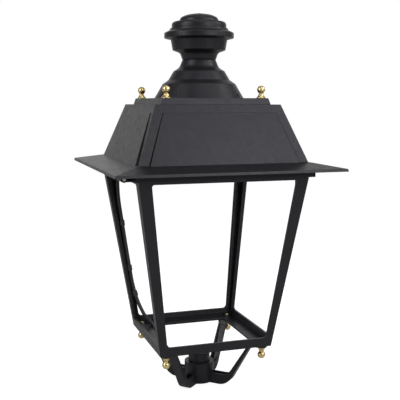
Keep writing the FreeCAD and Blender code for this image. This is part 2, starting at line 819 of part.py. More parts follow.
loft(hood, [
    square(hood, "under_lip", fascia_bottom_half - s.hood_wall, fascia_bottom_level),
    square(hood, "under_brim", brim_half - s.hood_wall, brim_under(brim_half - s.hood_wall)),
    square(hood, "under_roof", roof_base_half - s.hood_wall, under_level),
    square(hood, "under_rim", roof_half(plate_level) - s.hood_wall, plate_level),
], cut=True)
opening = square(hood, "roof_opening", roof_opening_half, roof_top_level,
                 s.window_corner_radius)
pocket(hood, opening, s.hood_wall)
rib_foot = ring_top - s.groove_depth + s.gasket_height + s.gasket_gap
rib_plan = square(hood, "seal_rib", groove_half + s.rib_width / 2, rib_foot)
square(hood, "seal_rib_inner", groove_half - s.rib_width / 2, rib_foot, sketch=rib_plan)
pad(hood, rib_plan, under_level + s.hood_wall * 0.3 - rib_foot)
lug_reach = hinge_half + s.knuckle_radius
lug_top = brim_under(lug_reach) + s.hood_wall * 0.85
for side, sign, outer_middle, inner_middle, lug_middle in hinge_ends:
    lug_side = rectangle(hood, f"lug_{side}", "XZ_Plane", -lug_reach,
                         -hinge_half + s.knuckle_radius, hinge_level, lug_top, -lug_middle)
    pad(hood, lug_side, s.lug_width, middle=True)
    lug_round = circle(hood, f"lug_round_{side}", "XZ_Plane", (-hinge_half, hinge_level),
                       s.knuckle_radius, -lug_middle)
    pad(hood, lug_round, s.lug_width, middle=True)
    lug_bore = circle(hood, f"lug_bore_{side}", "XZ_Plane", (-hinge_half, hinge_level),
                      s.pin_radius + s.pin_gap, -lug_middle)
    pocket(hood, lug_bore, s.lug_width * 1.5, middle=True)
latch_boss_top = brim_under(latch_half + s.latch_boss_radius) + s.hood_wall * 0.9
latch_boss = circle(hood, "latch_boss", "XY_Plane", (latch_half, 0),
                    s.latch_boss_radius, boss_floor)
pad(hood, latch_boss, latch_boss_top - boss_floor)
latch_bore = circle(hood, "latch_bore", "XY_Plane", (latch_half, 0),
                    s.latch_radius + s.latch_hole_gap, boss_floor)
pocket(hood, latch_bore, latch_boss_top - boss_floor - s.hood_wall * 0.9, along_normal=True)
finial_boss = pad(hood, circle(hood, "finial_boss", "XY_Plane", (finial_half, finial_half),
                               s.crown_boss_radius, plate_level - s.hood_wall * 1.5),
                  s.hood_wall * 2)
finial_hole = pocket(hood, circle(hood, "finial_hole", "XY_Plane",
                                  (finial_half, finial_half), stud_hole,
                                  roof_top_level), s.hood_wall * 3)
around(hood, [finial_boss, finial_hole])
nodes.append(hood)

# The crown: a square cap plate that the four finials clamp to the roof.
crown = new_body("crown_plate", base=(0, 0, roof_top_level))
loft(crown, [
    square(crown, "foot", crown_bottom_half, 0),
    square(crown, "head", crown_top_half, s.crown_height),
])
crown_recess = square(crown, "recess", crown_recess_half, 0)
pocket(crown, crown_recess, s.crown_height - s.crown_wall, along_normal=True)
ring_outer = (s.bell_radius - s.chimney_wall - s.seat_gap * 2
              - (s.bell_radius - s.bell_shoulder_radius) / s.bell_shoulder_height
              * s.spigot_ring_height)
ring_plan = circle(crown, "ring", "XY_Plane", (0, 0), ring_outer, s.crown_height)
circle(crown, "ring_inner", "XY_Plane", (0, 0), ring_outer - s.spigot_ring_width,
       sketch=ring_plan)
pad(crown, ring_plan, s.spigot_ring_height)
rod_hole = circle(crown, "rod_hole", "XY_Plane", (0, 0), s.rod_radius + s.stud_gap,
                  s.crown_height)
pocket(crown, rod_hole, s.crown_wall)
crown_stud_hole = pocket(crown, circle(crown, "stud_hole", "XY_Plane",
                                       (finial_half, finial_half), stud_hole,
                                       s.crown_height), s.crown_height)
bell_hole = crown.newObject("PartDesign::SubtractiveCylinder", "crown_bell_hole")
bind(bell_hole, "Radius", s.bell_screw_radius + s.pin_gap)
bind(bell_hole, "Height", s.bell_radius)
bell_hole.AttachmentSupport = [(origin_of(crown, "XY_Plane"), "")]
bell_hole.MapMode = "FlatFace"
screw_turn = Rotation(Vector(0, 0, 1), 135).multiply(Rotation(Vector(1, 0, 0), -90))
bell_hole.AttachmentOffset = Placement(Vector(0, 0, 0), screw_turn)
bind(bell_hole, "AttachmentOffset.Base.z", bell_screw_level - roof_top_level)
around(crown, [crown_stud_hole, bell_hole])
nodes.append(crown)

# The chimney's lower casting: bell, short cone and a hollow throat.
base_casting = new_body("chimney_base", base=(0, 0, crown_level))
revolve(base_casting, outline(base_casting, "section", "XZ_Plane", [
    (s.bell_radius - s.chimney_wall, 0),
    (s.bell_radius, 0),
    (s.bell_shoulder_radius, s.bell_shoulder_height, 3.0),
    (s.cone_radius, s.cone_height, 3.0),
    (s.flare_radius, s.flare_height, 2.0),
    (s.throat_bend_radius, s.throat_bend_height, 16.0),
    (s.throat_radius, s.throat_height - s.joint_chamfer),
    (s.throat_radius - s.joint_chamfer, s.throat_height),
    (s.rod_radius + s.stud_gap, s.throat_height),
    (s.rod_radius + s.stud_gap, s.throat_height - s.chimney_wall),
    (s.throat_radius - s.chimney_wall, s.throat_height - s.chimney_wall),
    (s.throat_bend_radius - s.chimney_wall, s.throat_bend_height - s.chimney_wall, 16.0),
    (s.flare_radius - s.chimney_wall, s.flare_height - s.chimney_wall * 0.6, 2.0),
    (s.cone_radius - s.chimney_wall, s.cone_height - s.chimney_wall * 0.6, 3.0),
    (s.bell_shoulder_radius - s.chimney_wall,
     s.bell_shoulder_height - s.chimney_wall * 0.6, 3.0),
]))
base_hole = base_casting.newObject("PartDesign::SubtractiveCylinder", "base_screw_hole")
bind(base_hole, "Radius", s.bell_screw_radius + s.pin_gap)
bind(base_hole, "Height", s.bell_radius * 1.2)
base_hole.AttachmentSupport = [(origin_of(base_casting, "XY_Plane"), "")]
base_hole.MapMode = "FlatFace"
base_hole.AttachmentOffset = Placement(Vector(0, 0, 0), screw_turn)
bind(base_hole, "AttachmentOffset.Base.z", s.bell_screw_height)
around(base_casting, [base_hole])
screw_face = (s.bell_radius - (s.bell_radius - s.bell_shoulder_radius)
              / s.bell_shoulder_height * s.bell_screw_height - s.bell_screw_radius * 0.7)
face_cut = base_casting.newObject("PartDesign::SubtractiveCylinder", "base_screw_face")
bind(face_cut, "Radius", s.bell_screw_head + s.stud_gap)
bind(face_cut, "Height", s.bell_screw_radius * 3)
face_cut.AttachmentSupport = [(origin_of(base_casting, "XY_Plane"), "")]
face_cut.MapMode = "FlatFace"
face_cut.AttachmentOffset = Placement(Vector(0, 0, 0), screw_turn)
bind(face_cut, "AttachmentOffset.Base.x", screw_face / -DIAGONAL)
bind(face_cut, "AttachmentOffset.Base.y", screw_face / -DIAGONAL)
bind(face_cut, "AttachmentOffset.Base.z", s.bell_screw_height)
around(base_casting, [face_cut])
nodes.append(base_casting)

# The chimney's upper casting: scotia, drum, eave and domed cap, with a boss inside.
joint_level = crown_level + s.throat_height
hat = new_body("chimney_hat", base=(0, 0, joint_level))
rod_depth = s.cap_foot_height * 0.75
revolve(hat, outline(hat, "section", "XZ_Plane", [
    (s.throat_radius - s.chimney_wall, 0),
    (s.throat_radius - s.joint_chamfer, 0),
    (s.throat_radius, s.joint_chamfer),
    (s.scotia_radius, s.scotia_height, 10.0),
    (s.drum_bottom_radius, s.drum_bottom_height, 1.0),
    (s.drum_top_radius, s.drum_top_height, 2.0),
    (s.eave_radius, s.eave_bottom_height, 1.0),
    (s.eave_radius, s.eave_top_height, 2.0),
    (s.ridge_radius, s.ridge_height, 0.6),
    (s.ridge_radius - 0.8, s.ridge_height + s.ridge_step, 0.8),
    (s.dome_foot_radius + 0.5, s.dome_foot_height, 0.5),
    (s.dome_foot_radius, s.cap_foot_height, 7.0),
    (s.cap_foot_radius, s.cap_foot_height, 1.0),
    (s.cap_shoulder_radius, s.cap_shoulder_height, 9.0),
    (s.cap_crown_radius, s.cap_crown_height, 40.0),
    (0, s.dome_height),
    (0, rod_depth),
    (s.rod_radius + s.slide_gap, rod_depth),
    (s.rod_radius + s.slide_gap, 0),
    (s.rod_boss_radius, 0),
    (s.rod_boss_radius, s.cap_foot_height - s.chimney_wall),
    (s.dome_foot_radius - s.chimney_wall * 2, s.cap_foot_height - s.chimney_wall, 4.0),
    (s.dome_foot_radius - s.chimney_wall * 2, s.drum_top_height, 2.0),
    (s.drum_bottom_radius - s.chimney_wall, s.drum_bottom_height + s.chimney_wall, 1.0),
    (s.scotia_radius - s.chimney_wall, s.scotia_height + s.chimney_wall * 0.8, 8.0),
]))
nodes.append(hat)

rod_start = roof_top_level + s.crown_height - s.crown_wall - s.nut_height * 1.4
rod = cylinder("chimney_tie_rod", s.rod_radius, joint_level + rod_depth - rod_start - 1,
               (0, 0, rod_start))
nodes.append(rod)
tie_nut = new_body("tie_nut", base=(0, 0, rod_start + s.nut_height * 0.4))
nodes.append(tie_nut)
hexagon_nuts = [(tie_nut, s.rod_radius)]

# Small screws fix the bell to the ring on the crown, each head in its own spot face.
for name, turn in (("front_left", 135), ("front_right", 225),
                   ("rear_right", 315), ("rear_left", 45)):
    shank = cylinder(f"bell_shank_{name}", s.bell_screw_radius, s.spigot_ring_width * 1.4,
                     (0, 0, -s.spigot_ring_width * 1.4))
    head = cylinder(f"bell_head_{name}", s.bell_screw_head, s.bell_screw_radius)
    turned = Rotation(Vector(0, 0, 1), turn).multiply(Rotation(Vector(1, 0, 0), -90))
    away = turned.multVec(Vector(0, 0, 1))
    screw = join(f"bell_screw_{name}", [shank, head],
                 (screw_face * away.x, screw_face * away.y, bell_screw_level), turned)
    nodes.append(screw)

# Brass: four ball finials on the crown, four ball knobs under the arms' feet.
corners = (("front_left", -1, -1), ("front_right", 1, -1),
           ("rear_right", 1, 1), ("rear_left", -1, 1))


def brass_ball(label, base, rotation, stud):
    """A ball on a waisted foot, with a stud behind its flange."""
    body = new_body(label, base, rotation)
    revolve(body, outline(body, "section", "XZ_Plane", [
        (0, -stud),
        (s.stud_radius, -stud),
        (s.stud_radius, 0),
        (s.knob_flange_radius, 0),
        (s.knob_flange_radius, s.knob_flange_height, 0.5),
        (s.knob_waist_radius, s.knob_waist_height, 3.0),
        (s.knob_neck_radius, s.knob_neck_height),
        (s.knob_neck_radius, s.knob_ball_distance),
        (0, s.knob_ball_distance),
    ]))
    ball = body.newObject("PartDesign::AdditiveSphere", f"{label}_ball")
    ball.AttachmentSupport = [(origin_of(body, "XY_Plane"), "")]
    ball.MapMode = "FlatFace"
    bind(ball, "AttachmentOffset.Base.z", s.knob_ball_distance)
    bind(ball, "Radius", s.knob_ball_radius)
    nodes.append(body)
    return body


for name, left, front in corners:
    brass_ball(f"roof_finial_{name}",
               (finial_half * left, finial_half * front, crown_level), None,
               s.crown_height + s.hood_wall * 2)
    brass_ball(f"corner_knob_{name}",
               (knob_half * left, knob_half * front, foot_level),
               Rotation(Vector(1, 0, 0), 180),
               s.foot_thickness + s.flange_thickness + s.nut_height * 1.2)
    nut = new_body(f"knob_nut_{name}", (knob_half * left, knob_half * front, flange_level))
    hexagon_nuts.append((nut, s.stud_radius))
    nodes.append(nut)

for nut, inside in hexagon_nuts:
    half_side = s.nut_radius / math.sqrt(3.0)
    plan = outline(nut, "hexagon", "XY_Plane", [
        (s.nut_radius, -half_side), (s.nut_radius, half_side), (0, half_side * 2),
        (-s.nut_radius, half_side), (-s.nut_radius, -half_side), (0, half_side * -2)])
    circle(nut, "thread", "XY_Plane", (0, 0), inside + s.slide_gap, sketch=plan)
    pad(nut, plan, s.nut_height)

# Screws hold the top frame on the posts.
for name, left, front in corners:
    shank = cylinder(f"post_shank_{name}", s.post_screw_radius, s.post_screw_length,
                     (0, 0, -s.post_screw_length + 1))
    head = cylinder(f"post_head_{name}", s.post_screw_head_radius, s.post_screw_head_height)
    screw = join(f"post_screw_{name}", [shank, head],
                 (boss_half * left, boss_half * front, ring_base))
    nodes.append(screw)

# The gear tray lies on the ring's flange and carries the LED unit and its supply.
tray_level = ring_base
tray_top = tray_level + s.tray_thickness
tray_half = ring_wall_half - s.tray_gap
gland_half = s.gland_reach / DIAGONAL
tray = new_body("gear_tray", base=(0, 0, tray_level))
edge = tray_half
near = tray_half - s.tray_corner_cut
tray_plan = outline(tray, "plan", "XY_Plane", [
    (-near, -edge), (near, -edge), (edge, -near), (edge, near),
    (near, edge), (-near, edge), (-edge, near), (-edge, -near)])
circle(tray, "window", "XY_Plane", (0, 0), s.tray_hole_radius, sketch=tray_plan)
circle(tray, "gland_hole", "XY_Plane", (-gland_half, gland_half), s.gland_radius + s.slide_gap,
       sketch=tray_plan)
pad(tray, tray_plan, s.tray_thickness)
nodes.append(tray)

# The heat sink lies on the tray over its round hole; the board hangs from it in the hole.
sink = new_body("heat_sink", base=(0, 0, tray_top))
pad(sink, circle(sink, "plate", "XY_Plane", (0, 0), s.sink_radius), s.sink_plate)
fins = s.fin_count.value
span = s.fin_pitch * (fins - 1) / 2
fin_half = s.tray_hole_radius * 0.6
fin_plan = rectangle(sink, "fin", "XY_Plane", -fin_half, fin_half,
                     -span - s.fin_thickness / 2, -span + s.fin_thickness / 2, 0)
fin = pad(sink, fin_plan, s.sink_plate + s.fin_height)
fin_row = sink.newObject("PartDesign::LinearPattern", "heat_sink_fins")
fin_row.Originals = [fin]
fin_row.Direction = (origin_of(sink, "Y_Axis"), [""])
bind(fin_row, "Length", span * 2)
fin_row.Occurrences = int(fins)
sink.Tip = fin_row
nodes.append(sink)

board_level = tray_top - s.board_thickness
board = cylinder("led_board", s.board_radius, s.board_thickness, (0, 0, board_level))
nodes.append(board)
lens = new_body("led_lens_plate", base=(0, 0, board_level))
pad(lens, circle(lens, "plate", "XY_Plane", (0, 0), s.lens_radius, -s.lens_thickness),
    s.lens_thickness)
for ring, share in (("outer", 1.0), ("inner", 0.5)):
    dome = lens.newObject("PartDesign::AdditiveSphere", f"lens_dome_{ring}")
    dome.AttachmentSupport = [(origin_of(lens, "XY_Plane"), "")]
    dome.MapMode = "FlatFace"
    bind(dome, "AttachmentOffset.Base.x", s.lens_circle_radius * share)
    bind(dome, "AttachmentOffset.Base.z", -s.lens_thickness)
    bind(dome, "Radius", s.lens_dome_radius)
    dome.Angle1 = -90
    dome.Angle2 = 0
    domes = lens.newObject("PartDesign::PolarPattern", f"lens_domes_{ring}")
    domes.Originals = [dome]
    domes.Axis = (origin_of(lens, "Z_Axis"), [""])
    domes.Angle = 360
    domes.Occurrences = 12 if share == 1.0 else 6
    lens.Tip = domes
nodes.append(lens)

seal_radius = s.optic_gasket_radius
seal = new_body("optic_gasket", base=(0, 0, tray_level - s.optic_gasket_height))
seal_plan = circle(seal, "outer", "XY_Plane", (0, 0), seal_radius)
circle(seal, "inner", "XY_Plane", (0, 0), seal_radius - s.optic_gasket_width, sketch=seal_plan)
pad(seal, seal_plan, s.optic_gasket_height)
nodes.append(seal)
carrier_depth = (s.board_thickness + s.lens_thickness + s.lens_dome_radius + s.glass_gap
                 - s.tray_thickness)
glass = cylinder("cover_glass", s.glass_radius, s.glass_thickness,
                 (0, 0, tray_level - carrier_depth - s.glass_thickness))
nodes.append(glass)
glass_frame = new_body("glass_frame", base=(0, 0, tray_level))
frame_floor = -(carrier_depth + s.glass_thickness)
revolve(glass_frame, outline(glass_frame, "section", "XZ_Plane", [
    (seal_radius + s.slide_gap, 0),
    (s.glass_frame_radius, 0),
    (s.glass_frame_radius, frame_floor - s.glass_frame_lip, 2.0),
    (s.glass_radius - s.glass_frame_lip, frame_floor - s.glass_frame_lip),
    (s.glass_radius - s.glass_frame_lip, frame_floor),
    (s.glass_radius + s.slide_gap, frame_floor),
    (s.glass_radius + s.slide_gap, -carrier_depth),
    (seal_radius - s.optic_gasket_width, -carrier_depth),
    (seal_radius - s.optic_gasket_width, -s.optic_gasket_height),
    (seal_radius + s.slide_gap, -s.optic_gasket_height),
]))
nodes.append(glass_frame)

driver = box("driver", s.driver_length, s.driver_width, s.driver_height,
             (s.driver_length / -2, s.driver_offset - s.driver_width / 2, tray_top))
terminal = box("terminal_block", s.terminal_width, s.terminal_length, s.terminal_height,
               (-s.driver_offset - s.terminal_width, -s.terminal_length / 2, tray_top))
surge = box("surge_protector", s.surge_length, s.surge_width, s.surge_height,
            (s.driver_offset - s.surge_width / 2, -s.surge_length / 2, tray_top))
nodes += [driver, terminal, surge]

# The supply cable runs down inside the back left post and arm, held all the way.
outward = Vector(-1, 1, 0).normalize()
up = Vector(0, 0, 1)
BENDS = {
    # reach from the axis, level, bend radius
    "above_gland": (200.5, 472.0, 0.0),
    "post_head": (200.5, 386.0, 300.0),
    "post_middle": (179.0, 263.0, 420.0),
    "post_low": (165.0, 188.0, 240.0),
    "frame_corner": (151.5, 150.0, 120.0),
    "over_flange": (135.5, 123.0, 42.0),
    "past_flange": (112.5, 104.0, 24.0),
    "arm_head": (104.0, 80.0, 60.0),
    "arm_low": (87.2, 47.0, 80.0),
    "elbow": (65.2, 9.4, 18.0),
    "hub_side": (*cable_entry, 14.0),
    "hub_inside": (*cable_end, 0.0),
}
route = [outward * reach + up * level for reach, level, radius in BENDS.values()]
radii = [radius for reach, level, radius in BENDS.values()]


def tube(points, bends, radius):
    """A round tube along straight runs joined by tangent arcs, with its centre line."""
    edges = []
    start = points[0]
    for i in range(1, len(points) - 1):
        back = (points[i - 1] - points[i]).normalize()
        onward = (points[i + 1] - points[i]).normalize()
        half = back.getAngle(onward) / 2
        reach = bends[i] / math.tan(half)
        middle = (back + onward).normalize()
        centre = points[i] + middle * (bends[i] / math.sin(half))
        first = points[i] + back * reach
        last = points[i] + onward * reach
        edges.append(Part.LineSegment(start, first).toShape())
        edges.append(Part.Arc(first, centre - middle * bends[i], last).toShape())
        start = last
    edges.append(Part.LineSegment(start, points[-1]).toShape())
    path = Part.Wire(edges)
    heading = (points[1] - points[0]).normalize()
    ring = Part.Wire([Part.Circle(points[0], heading, radius).toShape()])
    solid = path.makePipeShell([ring], True, False)
    return solid, path


cable_solid, cable_path = tube(route, radii, s.cable_radius.value)
cable = doc.addObject("Part::Feature", "supply_cable")
cable.Shape = cable_solid
cable.Placement = Placement()
nodes.append(cable)
section = math.pi * s.cable_radius.value ** 2
print("cable length", round(cable_path.Length, 1), "radii", radii,
      "volume ratio", round(cable_solid.Volume / (section * cable_path.Length), 4))

# The gland passes through the tray and grips the cable.
gland_bore = s.cable_radius + s.cable_gap
gland = new_body("cable_gland", base=(-gland_half, gland_half, tray_level))
revolve(gland, outline(gland, "section", "XZ_Plane", [
    (gland_bore, -s.gland_flange_height - s.slide_gap),
    (s.gland_flange_radius, -s.gland_flange_height - s.slide_gap),
    (s.gland_flange_radius, -s.slide_gap),
    (s.gland_radius, -s.slide_gap),
    (s.gland_radius, s.tray_thickness + s.slide_gap),
    (s.gland_flange_radius, s.tray_thickness + s.slide_gap),
    (s.gland_flange_radius, s.tray_thickness + s.gland_flange_height),
    (s.gland_radius, s.tray_thickness + s.gland_flange_height * 1.6),
    (gland_bore, s.tray_thickness + s.gland_flange_height * 1.6),
]))
nodes.append(gland)

# Clips hold the cable to the post's inner corner; each lies square to its run.
for name, above, below in (("upper", "post_head", "post_middle"),
                           ("middle", "post_middle", "post_low"),
                           ("lower", "post_low", "frame_corner")):
    high = outward * BENDS[above][0] + up * BENDS[above][1]
    low = outward * BENDS[below][0] + up * BENDS[below][1]
    at = (high + low) / 2
    heading = (high - low).normalize()
    tilt = math.degrees(math.atan2(heading.dot(outward), heading.z))
    inner_corner = (frame_half(at.z).value - s.frame_wall.value) * DIAGONAL
    room = (inner_corner - at.dot(outward)) * math.cos(math.radians(tilt))
    room = room - s.clip_tab_width.value / 2 - 0.6
    ring = cylinder(f"clip_ring_{name}", s.cable_radius + s.clip_wall, s.clip_height,
                    (0, 0, -s.clip_height / 2))
    tab = box(f"clip_tab_{name}", room, s.clip_tab_width, s.clip_height,
              (0, -s.clip_tab_width / 2, -s.clip_height / 2))
    hole = cylinder(f"clip_hole_{name}", gland_bore, s.clip_height * 1.2,
                    (0, 0, -s.clip_height * 0.6))
    shape = join(f"clip_shape_{name}", [ring, tab])
    turn = Rotation(Vector(0, 0, 1), 135).multiply(Rotation(Vector(0, 1, 0), tilt))
    clip = cut(f"cable_clip_{name}", shape, hole, (at.x, at.y, at.z), turn)
    nodes.append(clip)

# A grommet lines the slanting hole in the hub.
heading = (route[-2] - route[-1]).normalize()
grommet_turn = Rotation(Vector(0, 0, 1), heading)
grommet_base = route[-1] + heading * 11.0
grommet_shell = cylinder("grommet_shell", s.grommet_radius - s.slide_gap, 13.0)
grommet_hole = cylinder("grommet_hole", gland_bore, 16.0, (0, 0, -1))
grommet = cut("hub_grommet", grommet_shell, grommet_hole,
              (grommet_base.x, grommet_base.y, grommet_base.z), grommet_turn)
nodes.append(grommet)

doc.recompute()
for thing in doc.Objects:
    if "Invalid" in thing.State or "Error" in thing.State:
        raise SystemExit(f"{thing.Name} failed: {thing.State}")
os.makedirs("parts", exist_ok=True)
for node in nodes:
    shape = node.Shape
    if shape.isNull() or not shape.isValid():
        raise SystemExit(f"{node.Label} has no valid shape")
    if len(shape.Solids) != 1:
        print(node.Label, "has", len(shape.Solids), "solids")
for node in nodes:
    node.Shape.exportStep(f"parts/{node.Label}.step")
print(len(nodes), "pieces,", len(SIZES), "sizes")
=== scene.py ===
# %% [markdown]
# # A post-top street lantern head
# The real object is an aluminium lantern: four castings stacked on a spider with a
# threaded hub, a hinged hood, a turned chimney and eight brass balls. The lesson dresses
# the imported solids: first the camera, then one finish after another, then the small
# pieces that the solids leave plain, and the light last.

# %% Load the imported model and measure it
import json
import math

import bpy
import numpy as np
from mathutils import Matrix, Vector


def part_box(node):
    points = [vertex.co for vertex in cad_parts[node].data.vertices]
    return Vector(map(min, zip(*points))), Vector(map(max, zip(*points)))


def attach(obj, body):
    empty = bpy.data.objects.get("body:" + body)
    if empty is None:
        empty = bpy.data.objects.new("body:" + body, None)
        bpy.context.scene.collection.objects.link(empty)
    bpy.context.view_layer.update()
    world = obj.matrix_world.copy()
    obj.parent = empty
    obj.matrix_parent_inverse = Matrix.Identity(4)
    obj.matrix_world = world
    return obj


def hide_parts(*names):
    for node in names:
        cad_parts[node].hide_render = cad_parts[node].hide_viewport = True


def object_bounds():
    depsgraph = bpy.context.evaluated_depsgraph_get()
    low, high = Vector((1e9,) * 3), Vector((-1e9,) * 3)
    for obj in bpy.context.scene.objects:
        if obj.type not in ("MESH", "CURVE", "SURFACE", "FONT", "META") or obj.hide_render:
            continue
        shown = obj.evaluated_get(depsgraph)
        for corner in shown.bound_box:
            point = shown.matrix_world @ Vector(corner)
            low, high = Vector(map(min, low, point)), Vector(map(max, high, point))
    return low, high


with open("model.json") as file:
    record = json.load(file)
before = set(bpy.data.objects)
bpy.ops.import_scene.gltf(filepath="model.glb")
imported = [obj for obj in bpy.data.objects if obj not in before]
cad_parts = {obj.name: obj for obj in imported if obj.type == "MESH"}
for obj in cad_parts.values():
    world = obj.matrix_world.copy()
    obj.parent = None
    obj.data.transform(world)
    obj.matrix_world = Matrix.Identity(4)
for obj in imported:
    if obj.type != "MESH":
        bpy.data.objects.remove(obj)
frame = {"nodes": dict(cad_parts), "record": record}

cad_box = [list(corner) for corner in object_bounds()]
print("model box in metres:", cad_box)

# %% [markdown]
# ## Camera
# A product shot of a tall lantern is taken from a few steps away, a little above the
# middle, so the brim shows its upper side. The camera could be turned by hand, but a
# look-at point keeps the framing in two plain positions, and those can be read and
# changed at a glance.

# %% Place the camera
CAMERA_AT = Vector((-0.4792, -1.4651, 0.5891))
CAMERA_AIM = Vector((0.00175, -0.0010, 0.3865))
LENS_MM, SENSOR_MM = 67.30, 36.0

camera_data = bpy.data.cameras.new("camera")
camera_data.lens = LENS_MM
camera_data.sensor_width = SENSOR_MM
camera = bpy.data.objects.new("camera", camera_data)
bpy.context.scene.collection.objects.link(camera)
camera.location = CAMERA_AT
camera.rotation_euler = (CAMERA_AIM - CAMERA_AT).to_track_quat("-Z", "Y").to_euler()
bpy.context.scene.camera = camera
bpy.context.scene.view_settings.view_transform = "Standard"
print("camera is", round((CAMERA_AIM - CAMERA_AT).length, 3), "m from its aim")

# %% [markdown]
# ## A few helpers for shader nodes
# Every finish is a small tree of nodes. Linking them by hand takes many lines, so one
# helper adds a node and sets its fields and sockets, and the others build on it: a step
# of arithmetic, a blend of two colours, a cloud of noise. A group of nodes is built once
# and placed in each material with that material's own values.


# %% Helpers for shader nodes
def add(tree, kind, links=None, **fields):
    """Add a node; fields set its properties, links its sockets by value or by link."""
    node = tree.nodes.new("ShaderNode" + kind)
    for name, value in fields.items():
        setattr(node, name, value)
    for name, value in (links or {}).items():
        if isinstance(value, bpy.types.NodeSocket):
            tree.links.new(value, node.inputs[name])
        else:
            node.inputs[name].default_value = value
    return node


def calc(tree, operation, first, second=0.0, third=0.0):
    """One step of arithmetic on numbers or sockets."""
    return add(tree, "Math", {0: first, 1: second, 2: third}, operation=operation).outputs[0]


def blend(tree, share, first, second):
    """A colour between two others: first where share is 0, second where it is 1.

    The node keeps a set of sockets for each kind of value, and those for colours are
    inputs 6 and 7 and output 2.
    """
    return add(tree, "Mix", {0: share, 6: first, 7: second}, data_type="RGBA").outputs[2]


def spread(tree, value, low, high, to_low, to_high):
    """Stretch a value from one range to another, held at its ends."""
    return add(tree, "MapRange", {"Value": value, "From Min": low, "From Max": high,
                                  "To Min": to_low, "To Max": to_high}).outputs[0]


def noise(tree, vector, scale, detail=2.0, roughness=0.5):
    """A cloud of noise; its scale is the number of blobs in a metre."""
    return add(tree, "TexNoise", {"Vector": vector, "Scale": scale, "Detail": detail,
                                  "Roughness": roughness}).outputs[0]


def start_group(name, inputs, outputs):
    """A shader node group: inputs are (name, kind, value), outputs (name, kind)."""
    tree = bpy.data.node_groups.new(name, "ShaderNodeTree")
    for label, kind, value in inputs:
        socket = tree.interface.new_socket(label, in_out="INPUT",
                                           socket_type="NodeSocket" + kind)
        if value is not None:
            socket.default_value = value
    for label, kind in outputs:
        tree.interface.new_socket(label, in_out="OUTPUT", socket_type="NodeSocket" + kind)
    return tree, tree.nodes.new("NodeGroupInput"), tree.nodes.new("NodeGroupOutput")


def use_group(tree, group, links):
    """Place a finished group in a material's tree."""
    return add(tree, "Group", links, node_tree=group)


def start_material(name, **shader):
    """A material with a Principled BSDF whose plain values are given by socket name."""
    material = bpy.data.materials.new(name)
    material.use_nodes = True
    tree = material.node_tree
    tree.nodes.clear()
    principled = add(tree, "BsdfPrincipled", {socket.replace("_", " "): value
                                              for socket, value in shader.items()})
    add(tree, "OutputMaterial", {"Surface": principled.outputs[0]})
    place = add(tree, "TexCoord").outputs["Object"]
    return material, tree, principled, place


# %% [markdown]
# ## Powder coat
# The castings are aluminium under a black polyester powder coat with a fine satin
# texture. A coat like this is never one flat black: it lies a little thicker in places,
# and the orange peel breaks up the highlights. Image textures would need unwrapping, so
# three layers of noise in object space do the work: slow clouds for the tone, medium
# waves for the casting, fine grain for the peel.

# %% Node group: powder coat
powder_coat, enter, leave = start_group("powder coat", [
    ("Vector", "Vector", None), ("Thick", "Color", (0.0052, 0.0050, 0.0064, 1)),
    ("Thin", "Color", (0.0118, 0.0114, 0.0142, 1)), ("Gloss", "Float", 0.36),
    ("Dull", "Float", 0.44)],
    [("Color", "Color"), ("Roughness", "Float"), ("Height", "Float")])
where = enter.outputs["Vector"]
clouds = noise(powder_coat, where, 9.0, 4.0, 0.6)
waves = noise(powder_coat, where, 85.0)
peel = noise(powder_coat, where, 900.0, 2.0, 0.55)
tone = blend(powder_coat, clouds, enter.outputs["Thick"], enter.outputs["Thin"])
powder_coat.links.new(tone, leave.inputs["Color"])
shine = spread(powder_coat, waves, 0.3, 0.7, enter.outputs["Gloss"], enter.outputs["Dull"])
powder_coat.links.new(shine, leave.inputs["Roughness"])
height = calc(powder_coat, "MULTIPLY_ADD", waves, 0.28,
              calc(powder_coat, "MULTIPLY", peel, 0.65))
powder_coat.links.new(height, leave.inputs["Height"])
print("group", powder_coat.name, "has", len(powder_coat.nodes), "nodes")

# %% [markdown]
# ## Worked metal
# Turned brass, rolled sheet and drawn screws all carry the fine lines of the tool or
# the mill, with a little tarnish in slow patches. The lines come from one noise that the
# material stretches along the grain before it enters the group.

# %% Node group: worked metal
worked_metal, enter, leave = start_group("worked metal", [
    ("Vector", "Vector", None), ("Grain", "Vector", None),
    ("Clean", "Color", (0.8, 0.8, 0.8, 1)), ("Tarnish", "Color", (0.6, 0.6, 0.6, 1)),
    ("Gloss", "Float", 0.15), ("Dull", "Float", 0.30)],
    [("Color", "Color"), ("Roughness", "Float"), ("Height", "Float")])
patches = noise(worked_metal, enter.outputs["Vector"], 45.0, 4.0, 0.6)
lines = noise(worked_metal, enter.outputs["Grain"], 1.0, 2.0)
age = spread(worked_metal, patches, 0.45, 0.75, 0.0, 1.0)
tone = blend(worked_metal, age, enter.outputs["Clean"], enter.outputs["Tarnish"])
worked_metal.links.new(tone, leave.inputs["Color"])
both = calc(worked_metal, "MULTIPLY_ADD", lines, 0.5, calc(worked_metal, "MULTIPLY", age, 0.5))
shine = spread(worked_metal, both, 0.1, 0.8, enter.outputs["Gloss"], enter.outputs["Dull"])
worked_metal.links.new(shine, leave.inputs["Roughness"])
worked_metal.links.new(lines, leave.inputs["Height"])
print("group", worked_metal.name, "has", len(worked_metal.nodes), "nodes")

# %% [markdown]
# ## Moulded skin
# Rubber seals, the cable's sheath and the plastic housings all have a moulded skin: an
# even tone with faint clouds and a fine leathery grain. One group serves them all, with
# its own tone, grain and gloss in each material.

